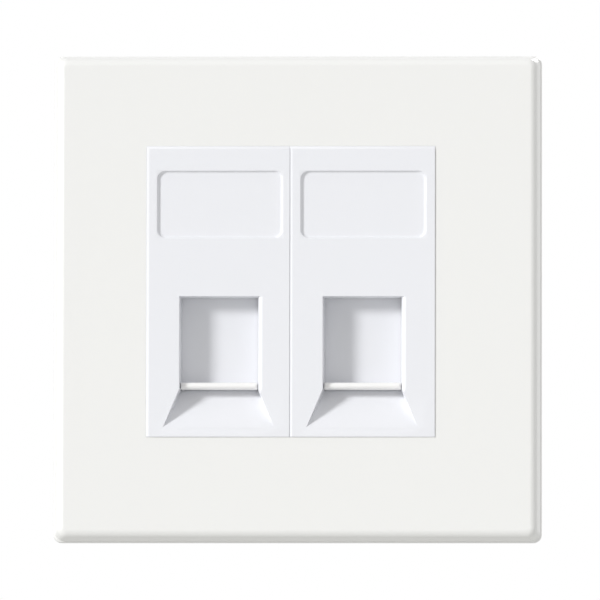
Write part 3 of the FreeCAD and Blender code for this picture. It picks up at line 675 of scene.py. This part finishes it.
def faces_at(bm, test, area=anywhere):
    """Faces whose middle and normal pass a test and whose middle lies in an area."""
    return [face for face in bm.faces if test(face.calc_center_median(), face.normal)
            and area(face.calc_center_median())]


def looks_back(place, normal):
    """Test for faces that look at the wall."""
    return normal.y > SQUARE


def looks_out(limit):
    """Test for faces that look into the room and lie no deeper than a limit."""
    return lambda place, normal: normal.y < -SQUARE and place.y < limit + CLOSE


def lies_at(*levels):
    """Test for faces parallel to the wall at one of some depths."""
    return lambda place, normal: abs(normal.y) > SQUARE and any(
        abs(place.y - level) < CLOSE for level in levels)


def edges_at(bm, test):
    return [edge for edge in bm.edges if test((edge.verts[0].co + edge.verts[1].co) / 2,
                                              edge.verts[1].co - edge.verts[0].co)]


def edges_before(bm, limit):
    """Edges that lie wholly in front of a depth."""
    return [edge for edge in bm.edges if all(vert.co.y < limit for vert in edge.verts)]


def open_edges(bm):
    return [edge for edge in bm.edges if edge.is_boundary]


def ring_edges(ring):
    return list({edge for vert in ring for edge in vert.link_edges})


def slice_faces(bm, faces, place, normal):
    """Cut the given faces along a plane."""
    edges = {edge for face in faces for edge in face.edges}
    verts = {vert for face in faces for vert in face.verts}
    bmesh.ops.bisect_plane(bm, geom=[*faces, *edges, *verts], dist=WELD,
                           plane_co=place, plane_no=normal)


def slice_at(bm, test, rights=(), ups=()):
    """Cut the faces that pass the test at each level across and each level up."""
    for axis, levels in ((0, rights), (2, ups)):
        for level in levels:
            place, normal = Vector(), Vector()
            place[axis], normal[axis] = level, 1.0
            slice_faces(bm, faces_at(bm, test), place, normal)


def push_faces(bm, faces, move):
    """Extrude faces along a move; returns the moved vertices."""
    grown = bmesh.ops.extrude_face_region(bm, geom=faces)["geom"]
    verts = [item for item in grown if isinstance(item, bmesh.types.BMVert)]
    bmesh.ops.translate(bm, verts=verts, vec=move)
    bmesh.ops.delete(bm, geom=faces, context="FACES")
    bm.normal_update()
    return verts


def round_edges(bm, edges, radius, segments):
    bmesh.ops.bevel(bm, geom=edges, offset=radius, offset_type="OFFSET", affect="EDGES",
                    segments=segments, profile=0.5, material=-1, clamp_overlap=True)
    bm.normal_update()


def rounded_ring(bm, half_wide, half_tall, corner, middle, segments=48):
    """Upright rounded outline: a ring whose quarters are moved apart; returns its edges."""
    turn = Matrix.Rotation(math.pi / 2, 4, "X") @ Matrix.Rotation(math.pi / segments, 4, "Z")
    ring = bmesh.ops.create_circle(bm, cap_ends=False, segments=segments, radius=corner,
                                   matrix=turn)["verts"]
    for vert in ring:
        vert.co.x += math.copysign(half_wide - corner, vert.co.x)
        vert.co.z += math.copysign(half_tall - corner, vert.co.z)
    bmesh.ops.translate(bm, verts=ring, vec=middle)
    return ring_edges(ring)


def between(value, low, high):
    return low < value < high


def add_piece(bm, name, body, slot, nodes, edge=0.0, steps=2, crease=40.0):
    """Close the mesh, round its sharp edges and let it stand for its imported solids."""
    bmesh.ops.remove_doubles(bm, verts=bm.verts, dist=WELD)
    bmesh.ops.recalc_face_normals(bm, faces=bm.faces)
    mesh = bpy.data.meshes.new(name)
    bm.to_mesh(mesh)
    bm.free()
    mesh.shade_smooth()
    piece = bpy.data.objects.new(name, mesh)
    bpy.context.scene.collection.objects.link(piece)
    mesh.materials.append(FINISHES[slot])
    if edge:
        rounding = piece.modifiers.new("rounding", "BEVEL")
        rounding.width = edge
        rounding.segments = steps
        rounding.limit_method = "ANGLE"
        rounding.angle_limit = math.radians(crease)
        rounding.use_clamp_overlap = False
        rounding.loop_slide = False
        rounding.miter_outer = "MITER_ARC"
    else:
        mesh.set_sharp_from_angle(angle=math.radians(crease))
    evening = piece.modifiers.new("evening", "WEIGHTED_NORMAL")
    evening.keep_sharp = True
    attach(piece, body)
    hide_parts(*nodes)
    return piece


def module_place(settings, side):
    """Middle of a module's front on the wall plane."""
    sign = -1 if side == "left" else 1
    return Vector((settings.bezel.right + sign * settings.bezel.pitch / 2, 0,
                   settings.bezel.up))


# ---------------------------------------------------------------- front plate
class FACEPLATE_OT_front_plate(bpy.types.Operator):
    """Drafted cover with rounded edges, a window, a collar behind it and four clip ribs."""
    bl_idname = "faceplate.front_plate"
    bl_label = "Front plate"

    def execute(self, context):
        size = context.scene.faceplate.plate
        half, face = size.width / 2, -size.depth
        bm = bmesh.new()
        verts = solid_block(bm, (-half, face, -half), (half, 0, half))
        lean = (half - size.draft) / half
        bmesh.ops.scale(bm, verts=[v for v in verts if v.co.y < face / 2], vec=(lean, 1, lean))
        round_edges(bm, edges_at(bm, lambda place, run: abs(run.y) > size.depth / 2),
                    size.corner, size.corner_steps)
        round_edges(bm, edges_before(bm, face + CLOSE), size.edge, size.edge_steps)
        for step in (-0.5, 0, 0.5):
            slice_faces(bm, bm.faces[:], (0, step * size.line_wide - size.line_out, 0), (0, 1, 0))
        lean = (half - size.line_deep) / half
        bmesh.ops.scale(bm, verts=[v for v in bm.verts if abs(v.co.y + size.line_out) < CLOSE],
                        vec=(lean, 1, lean))
        back = faces_at(bm, looks_back)
        bmesh.ops.inset_region(bm, faces=back, thickness=size.skin, use_even_offset=True)
        roof = face + size.skin
        moved = push_faces(bm, back, (0, roof, 0))
        inner = half - size.skin
        lean = (inner + size.draft * roof / size.depth) / inner
        bmesh.ops.scale(bm, verts=moved, vec=(lean, 1, lean))
        self.open_window(bm, size, face, roof)
        for turn in range(4):
            rib = solid_block(bm, (-size.rib_half, -size.rib_high, size.rib_reach),
                              (size.rib_half, -size.rib_low, half - size.skin / 2))
            tip = [v for v in rib if v.co.z < size.rib_reach + CLOSE and v.co.y > -size.rib_high]
            bmesh.ops.translate(bm, verts=[v for v in tip if v.co.y > -size.rib_low - CLOSE],
                                vec=(0, 0, (size.rib_high - size.rib_low) / 2))
            bmesh.ops.rotate(bm, verts=rib, cent=(0, 0, 0),
                             matrix=Matrix.Rotation(math.pi / 2 * turn, 3, "Y"))
        add_piece(bm, "plate_cover", "plate", "plate_urea", ["front_plate"],
                  context.scene.faceplate.eased.plate)
        return {"FINISHED"}

    def open_window(self, bm, size, face, roof):
        """Cut the window through face and roof and raise the collar round it."""
        across, up = size.window_right, size.window_up
        wide, tall = size.window_wide / 2, size.window_tall / 2
        wall = size.collar_wall
        slice_at(bm, lies_at(face, roof), (across - wide, across + wide), (up - tall, up + tall))
        slice_at(bm, lies_at(roof), (across - wide - wall, across + wide + wall),
                 (up - tall - wall, up + tall + wall, -size.notch_half, size.notch_half))

        def inside(place, margin=0.0):
            return abs(place.x - across) < wide + margin and abs(place.z - up) < tall + margin

        def on_collar(place):
            return (inside(place, wall) and not inside(place)
                    and not (abs(place.z) < size.notch_half and place.x < across))
        push_faces(bm, faces_at(bm, lies_at(roof), on_collar), (0, size.collar_tall, 0))
        bmesh.ops.delete(bm, geom=faces_at(bm, lies_at(face, roof), inside), context="FACES")
        bmesh.ops.bridge_loops(bm, edges=open_edges(bm))
        rim = edges_at(bm, lambda place, run: abs(place.y - face) < CLOSE
                       and inside(place, CLOSE) and not inside(place, -CLOSE))
        round_edges(bm, rim, size.window_edge, size.window_steps)


# ---------------------------------------------------------------- module bezels
class FACEPLATE_OT_bezels(bpy.types.Operator):
    """Both module fronts: flange, tub, label recess, mouth, finger ramp, rails and clips."""
    bl_idname = "faceplate.bezels"
    bl_label = "Module bezels"

    def execute(self, context):
        settings = context.scene.faceplate
        size = settings.bezel
        for side in SIDES:
            bm = bmesh.new()
            face = -size.out
            margin = size.side_right if side == "left" else size.side_end
            solid_block(bm, (-size.side_left, face, -size.side_bottom),
                        (margin, -size.flange, size.side_top))
            bm.normal_update()
            self.round_rim(bm, size, face)
            self.raise_tub(bm, size)
            self.open_mouth(bm, size, face)
            self.sink_label(bm, size, face)
            self.open_clips(bm, size)
            self.add_inner_parts(bm, size, settings.shutter)
            bmesh.ops.translate(bm, verts=bm.verts, vec=module_place(settings, side))
            add_piece(bm, "bezel_" + side, "plate", "bezel_abs", ["module_bezel_" + side],
                      settings.eased.bezel)
        return {"FINISHED"}

    def round_rim(self, bm, size, face):
        """Slope the face down to its left side and top, then round all its sides."""
        slice_faces(bm, bm.faces[:], (0, face + size.ease_deep, 0), (0, 1, 0))
        for vert in (v for v in bm.verts if v.co.y < face + CLOSE):
            vert.co.x += size.ease_wide if vert.co.x < 0 else 0
            vert.co.z -= size.ease_wide if vert.co.z > 0 else 0
        bm.normal_update()
        sides = edges_at(bm, lambda place, run: place.y < face + CLOSE
                         or place.y < face + size.ease_deep + CLOSE
                         and (place.x < CLOSE - size.side_left
                              or place.z > size.side_top - CLOSE))
        round_edges(bm, sides, size.edge, size.edge_steps)

    def raise_tub(self, bm, size):
        """Walls of the box behind the flange, and the thick block round the mouth."""
        outer = (size.tub_wide / 2, size.tub_tall / 2)
        inner = (outer[0] - size.tub_wall, outer[1] - size.tub_wall)
        mouth = size.mouth_wide / 2
        roof = size.mouth_top + size.mouth_wall
        slice_at(bm, looks_back, (-outer[0], outer[0], -inner[0], inner[0]),
                 (-outer[1], outer[1], -inner[1], inner[1]))
        slice_at(bm, looks_back,
                 (-mouth - size.mouth_wall, -mouth, mouth, mouth + size.mouth_wall),
                 (size.mouth_top, roof, size.mouth_bottom))

        def in_tub(place):
            return abs(place.x) < outer[0] and abs(place.z) < outer[1]

        def in_wall(place):
            return in_tub(place) and not (abs(place.x) < inner[0] and abs(place.z) < inner[1])

        def in_block(place):
            return in_tub(place) and (place.z < size.mouth_bottom or place.z < roof
                                      and abs(place.x) < mouth + size.mouth_wall)
        push_faces(bm, faces_at(bm, looks_back, lambda place: in_wall(place) or in_block(place)),
                   (0, size.flange - size.mouth_back, 0))
        push_faces(bm, faces_at(bm, lies_at(-size.mouth_back), in_wall),
                   (0, size.tub_back + size.mouth_back, 0))

    def open_mouth(self, bm, size, face):
        """Cut the mouth and the finger ramp into the face and through to the back."""
        half, front = size.mouth_wide / 2, looks_out(face)
        slice_at(bm, front, (-half, half), (size.mouth_top, size.mouth_bottom, size.ramp_bottom))
        drop = size.mouth_bottom - size.ramp_bottom
        for sign in (-1, 1):
            beside = faces_at(bm, front, lambda place: place.x * sign > 0 and between(
                place.z, size.ramp_bottom, size.mouth_bottom))
            slice_faces(bm, beside, (sign * half, face, size.mouth_bottom),
                        (sign * drop, 0, size.ramp_half - half))

        def in_mouth(place):
            return abs(place.x) < half and between(place.z, size.mouth_bottom, size.mouth_top)

        def in_ramp(place):
            share = (size.mouth_bottom - place.z) / drop
            return between(share, 0, 1) and abs(place.x) < half + share * (size.ramp_half - half)
        moved = push_faces(bm, faces_at(bm, front, lambda place: in_mouth(place)
                                        or in_ramp(place)), (0, size.ramp_deep, 0))
        foot = [v for v in moved if v.co.z < size.ramp_bottom + CLOSE]
        bmesh.ops.translate(bm, verts=foot, vec=(0, -size.ramp_deep, 0))
        bmesh.ops.remove_doubles(bm, verts=bm.verts, dist=WELD)
        push_faces(bm, faces_at(bm, lies_at(face + size.ramp_deep), in_mouth),
                   (0, size.out - size.ramp_deep - size.mouth_back, 0))
        through = faces_at(bm, lies_at(-size.mouth_back), in_mouth)
        bmesh.ops.delete(bm, geom=through, context="FACES")
        bmesh.ops.remove_doubles(bm, verts=bm.verts, dist=WELD)
        for vert in bm.verts:
            lean = size.mouth_draft * (vert.co.y - face) / (size.out - size.mouth_back)
            if (lean > CLOSE and vert.co.y < CLOSE - size.mouth_back
                    and between(vert.co.z, size.mouth_bottom - CLOSE, size.mouth_top + CLOSE)
                    and abs(vert.co.x) < half + CLOSE):
                vert.co.x -= math.copysign(lean, vert.co.x)
        for sign, radius in ((-1, size.mouth_edge), (1, size.mouth_ease)):
            rim = edges_at(bm, lambda place, run: place.y < face + CLOSE
                           and abs(place.x - sign * half) < CLOSE and in_mouth(place * INWARD))
            round_edges(bm, rim, radius, size.mouth_steps)

    def sink_label(self, bm, size, face):
        """Sink the label recess: upright sides that curve into its floor, rounded corners."""
        half, shift = size.label_wide / 2, size.label_right
        tall = (size.label_top - size.label_bottom) / 2
        middle, front = size.label_bottom + tall, looks_out(face)
        slice_at(bm, front, (shift - half - size.label_rim, shift + half + size.label_rim),
                 (size.label_bottom - size.label_rim, size.label_top + size.label_rim))
        patch = faces_at(bm, front, lambda place: abs(place.x - shift) < half
                         and abs(place.z - middle) < tall)
        bmesh.ops.delete(bm, geom=patch, context="FACES")
        edge = open_edges(bm)
        rings = [rounded_ring(bm, half, tall, size.label_corner, (shift, face, middle))]
        for step in range(FOOT_STEPS + 1):
            turn = math.pi / 2 * step / FOOT_STEPS
            inset = size.label_foot * (1 - math.cos(turn))
            depth = size.label_deep * (FOOT_RISE + (1 - FOOT_RISE) * math.sin(turn))
            rings.append(rounded_ring(bm, half - inset, tall - inset,
                                      size.label_corner - inset / 2,
                                      (shift, face + depth, middle)))
        bmesh.ops.triangle_fill(bm, use_beauty=True, edges=edge + rings[0])
        for near, far in zip(rings, rings[1:]):
            bmesh.ops.bridge_loops(bm, edges=near + far)
        bmesh.ops.contextual_create(bm, geom=rings[-1])
        bm.normal_update()

    def open_clips(self, bm, size):
        """Windows in the box's top and bottom walls for the holder's hooks."""
        cuts = [((x, 0, 0), (1, 0, 0)) for x in (-size.clip_half, size.clip_half)]
        cuts += [((0, y, 0), (0, 1, 0)) for y in (size.clip_front, size.clip_back)]
        for sign in (-1, 1):
            def wall(place, normal):
                return (abs(normal.z) > SQUARE and place.y > 0
                        and sign * place.z > size.tub_tall / 2 - size.tub_wall - CLOSE)
            for point, normal in cuts:
                slice_faces(bm, faces_at(bm, wall), point, normal)
            window = faces_at(bm, wall, lambda place: abs(place.x) < size.clip_half
                              and between(place.y, size.clip_front, size.clip_back))
            bmesh.ops.delete(bm, geom=window, context="FACES")
            bmesh.ops.bridge_loops(bm, edges=open_edges(bm))

    def add_inner_parts(self, bm, size, shutter):
        """Rails and stop for the shutter, the spring's seat with its peg, barbs on the tub."""
        wall, top = size.tub_wall, size.tub_tall / 2
        front, side = -size.flange - SUNK, shutter.half + size.rail_gap
        for sign in (-1, 1):
            edges = sorted((sign * side, sign * (side + size.rail_wide)))
            solid_block(bm, (edges[0], front, size.rail_bottom),
                        (edges[1], size.rail_back, size.rail_top))
            barb = solid_block(bm, (-size.barb_half, size.barb_front, top - wall / 2),
                               (size.barb_half, size.barb_back, top + size.barb_reach))
            tail = [v for v in barb if v.co.y > size.barb_back - CLOSE and v.co.z > top]
            bmesh.ops.translate(bm, verts=tail, vec=(0, 0, -size.barb_reach))
            bmesh.ops.scale(bm, verts=barb, vec=(1, 1, sign))
        side += size.stop_lap
        solid_block(bm, (-side, -size.stop_front, size.rail_bottom),
                    (side, size.rail_back, shutter.bottom))
        solid_block(bm, (-size.seat_half, front, size.seat_low),
                    (size.seat_half, size.rail_back, top - wall + SUNK))
        solid_rod(bm, shutter.peg_radius, (0, -shutter.peg_out, size.seat_low - shutter.peg_long),
                  (0, -shutter.peg_out, size.seat_low + PEG_ROOT))


# ---------------------------------------------------------------- shutters
class FACEPLATE_OT_shutters(bpy.types.Operator):
    """Both sliding shutters: plate, rounded finger lip, spring shelf and peg."""
    bl_idname = "faceplate.shutters"
    bl_label = "Shutters"

    def execute(self, context):
        settings = context.scene.faceplate
        size = settings.shutter
        for side in SIDES:
            bm = bmesh.new()
            solid_block(bm, (-size.half, size.front, size.bottom),
                        (size.half, size.front + size.thick, size.top))
            bm.normal_update()
            front, shelf = looks_out(size.front), size.top - size.shelf_thick
            slice_at(bm, front,
                     (-size.lip_half, size.lip_half, -size.shelf_half, size.shelf_half),
                     (size.lip_bottom, size.lip_top, shelf))
            root = faces_at(bm, front, lambda place: abs(place.x) < size.lip_half
                            and between(place.z, size.lip_bottom, size.lip_top))
            nose = push_faces(bm, root, (0, -size.lip_out - size.front, 0))
            bmesh.ops.scale(bm, verts=nose, vec=(1 + size.lip_flare / size.lip_half, 1, 1))
            root = faces_at(bm, front, lambda place: abs(place.x) < size.shelf_half
                            and place.z > shelf)
            push_faces(bm, root, (0, -size.shelf_out - size.front, 0))
            bmesh.ops.dissolve_limit(bm, angle_limit=FLAT, verts=bm.verts, edges=bm.edges)
            nose = edges_before(bm, CLOSE - size.lip_out)
            round_edges(bm, nose, size.lip_round, size.lip_steps)
            solid_rod(bm, size.peg_radius, (0, -size.peg_out, size.top - PEG_ROOT),
                      (0, -size.peg_out, size.top + size.peg_long))
            bmesh.ops.translate(bm, verts=bm.verts, vec=module_place(settings, side))
            add_piece(bm, "shutter_cover_" + side, "shutter_%s_body" % side, "shutter_abs",
                      ["shutter_" + side], settings.eased.shutter)
        return {"FINISHED"}


# ---------------------------------------------------------------- springs
def winding(bm, section, axis, centre, steps, climb):
    """Sweep a closed section round an axis while it climbs; returns the last section."""
    turn = math.tau / WIND_STEPS
    for stretch, rise in zip(steps, climb):
        swept = bmesh.ops.spin(bm, geom=section, cent=centre, axis=axis, angle=turn * stretch,
                               steps=stretch, dvec=Vector(axis) * (rise / WIND_STEPS))
        section = swept["geom_last"]
    return [item for item in section if isinstance(item, bmesh.types.BMEdge)]


class FACEPLATE_OT_springs(bpy.types.Operator):
    """Both compression springs: round wire, closed end turns and open turns between them."""
    bl_idname = "faceplate.springs"
    bl_label = "Springs"

    def execute(self, context):
        settings = context.scene.faceplate
        size = settings.spring
        closed = size.closed * size.wire
        climb = (size.top - size.bottom - 2 * size.wire - 2 * closed) / size.turns
        for side in SIDES:
            bm = bmesh.new()
            ring = bmesh.ops.create_circle(bm, cap_ends=False, segments=10, radius=size.wire,
                                           matrix=Matrix.Rotation(math.pi / 2, 4, "X"))["verts"]
            bmesh.ops.translate(bm, verts=ring, vec=(size.radius, 0, size.bottom + size.wire))
            first = ring_edges(ring)
            last = winding(bm, ring + first, (0, 0, 1), (0, 0, 0),
                           (WIND_STEPS, size.turns * WIND_STEPS, WIND_STEPS),
                           (closed, climb, closed))
            for end in (first, last):
                bmesh.ops.contextual_create(bm, geom=end)
            seat = module_place(settings, side) - Vector((0, settings.shutter.peg_out, 0))
            bmesh.ops.translate(bm, verts=bm.verts, vec=seat)
            spring = add_piece(bm, "coil_" + side, "plate", "spring_steel",
                               ["shutter_spring_" + side])
            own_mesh(spring)
        return {"FINISHED"}


# ---------------------------------------------------------------- screws
class FACEPLATE_OT_screws(bpy.types.Operator):
    """Both box screws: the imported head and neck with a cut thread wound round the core."""
    bl_idname = "faceplate.screws"
    bl_label = "Screws"

    def execute(self, context):
        size = context.scene.faceplate.screw
        for side in SIDES:
            axis = size.spacing / 2 * (-1 if side == "left" else 1)
            bm = whole_copy("fixing_screw_" + side)
            for vert in bm.verts:
                reach = math.hypot(vert.co.x - axis, vert.co.z)
                if vert.co.y > CLOSE or vert.co.y > -CLOSE and reach > size.neck + CLOSE:
                    vert.co.x = axis + (vert.co.x - axis) * size.core / size.crest
                    vert.co.z *= size.core / size.crest
            self.wind_thread(bm, size, axis)
            add_piece(bm, "box_screw_" + side, "plate", "screw_zinc", ["fixing_screw_" + side],
                      size.edge)
        return {"FINISHED"}

    def wind_thread(self, bm, size, axis):
        """Triangular ridge that rises from the core at both ends."""
        root = size.core - ROOT_SUNK
        flat, base = CREST_HALF * size.pitch, ROOT_HALF * size.pitch
        corners = [bmesh.ops.create_vert(bm, co=(axis + reach, size.start + along, 0))["vert"][0]
                   for reach, along in ((root, -base), (size.crest, -flat), (size.crest, flat),
                                        (root, base))]
        edges = [bm.edges.new((corners[k - 1], corners[k])) for k in range(4)]
        turns = (size.end - size.start) / size.pitch
        known = set(bm.verts) - set(corners)
        last = winding(bm, corners + edges, (0, 1, 0), (axis, 0, 0),
                       (int(turns * WIND_STEPS),), (size.pitch,))
        for end in (edges, last):
            bmesh.ops.contextual_create(bm, geom=end)
        for vert in (v for v in bm.verts if v not in known):
            reach = math.hypot(vert.co.x - axis, vert.co.z)
            if reach > size.crest - CLOSE:
                share = min(1.0, (min(vert.co.y - size.start, size.end - vert.co.y) + flat)
                            / size.pitch)
                shrink = (root + max(share, 0.0) * (size.crest - root)) / reach
                vert.co.x = axis + (vert.co.x - axis) * shrink
                vert.co.z *= shrink


# ---------------------------------------------------------------- parts behind the plate
EASED = {"frame": "mounting_frame", "holder": "keystone_holder", "jack": "jack_housing",
         "carrier": "contact_carrier", "wires": "contact_wires", "board": "jack_board",
         "block": "terminal_block", "terminals": "slit_terminals", "cap": "wire_cap"}
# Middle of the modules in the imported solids, from the plate's
CAD_RIGHT, CAD_UP = -0.8 * MM, 0.9 * MM
# Millimetres across at which the frame stays cut, so that no joined face has a hole in it
FRAME_CUTS = (-30.15, -28.0, -14.0, 0.0, 14.0, 28.0, 30.15)


def whole_copy(node, cuts=()):
    """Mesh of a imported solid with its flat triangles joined, whole between any upright cuts."""
    bm = bmesh.new()
    bm.from_mesh(frame["nodes"][node].data)
    bmesh.ops.remove_doubles(bm, verts=bm.verts, dist=WELD)
    for level in cuts:
        cut = bmesh.ops.bisect_plane(bm, geom=[*bm.faces, *bm.edges, *bm.verts], dist=WELD,
                                     plane_co=(level * MM, 0, 0), plane_no=(1, 0, 0))
        for item in cut["geom_cut"]:
            if isinstance(item, bmesh.types.BMEdge):
                item.seam = True
    if cuts:
        bmesh.ops.dissolve_limit(bm, angle_limit=FLAT, delimit={"SEAM"},
                                 verts=bm.verts, edges=bm.edges)
    else:
        bmesh.ops.join_triangles(bm, faces=bm.faces, angle_face_threshold=FLAT,
                                 angle_shape_threshold=math.pi)
    return bm


class FACEPLATE_OT_inner_parts(bpy.types.Operator):
    """Frame, holders, jacks, boards, blocks and caps with their moulded and cut edges eased."""
    bl_idname = "faceplate.inner_parts"
    bl_label = "Inner parts"

    def execute(self, context):
        settings = context.scene.faceplate
        shift = Vector((settings.bezel.right - CAD_RIGHT, 0, settings.bezel.up - CAD_UP))
        for part, start in EASED.items():
            for name in sorted(n for n in frame["nodes"] if n.startswith(start)):
                bm = whole_copy(name, FRAME_CUTS if part == "frame" else ())
                if part != "frame":
                    bmesh.ops.translate(bm, verts=bm.verts, vec=shift)
                add_piece(bm, name + "_eased", "plate", SLOT_OF[start], [name],
                          getattr(settings.eased, part))
        return {"FINISHED"}


# ---------------------------------------------------------------- add-on
OPERATORS = (FACEPLATE_OT_stage, FACEPLATE_OT_solids, FACEPLATE_OT_front_plate,
             FACEPLATE_OT_bezels, FACEPLATE_OT_shutters, FACEPLATE_OT_springs,
             FACEPLATE_OT_screws, FACEPLATE_OT_inner_parts)


class FACEPLATE_PT_sidebar(bpy.types.Panel):
    """Lists the settings and the pieces."""
    bl_idname = "FACEPLATE_PT_sidebar"
    bl_label = "Keystone faceplate"
    bl_space_type = "VIEW_3D"
    bl_region_type = "UI"
    bl_category = "Faceplate"

    def draw(self, context):
        settings = context.scene.faceplate
        for name in FaceplateSettings.__annotations__:
            part = self.layout.box()
            part.label(text=name.replace("_", " ").capitalize())
            for field in type(getattr(settings, name)).__annotations__:
                part.prop(getattr(settings, name), field)
        for operator in OPERATORS:
            self.layout.operator(operator.bl_idname)


CLASSES = (StageSettings, PlateSizes, BezelSizes, ShutterSizes, ScrewSizes, SpringSizes,
           EasedSizes, FinishColours, FaceplateSettings) + OPERATORS + (FACEPLATE_PT_sidebar,)


def register():
    for item in CLASSES:
        bpy.utils.register_class(item)
    bpy.types.Scene.faceplate = bpy.props.PointerProperty(type=FaceplateSettings)


def unregister():
    del bpy.types.Scene.faceplate
    for item in reversed(CLASSES):
        bpy.utils.unregister_class(item)


def main():
    register()
    for operator in OPERATORS:
        family, call = operator.bl_idname.split(".")
        getattr(getattr(bpy.ops, family), call)()


if __name__ == "__main__":
    main()
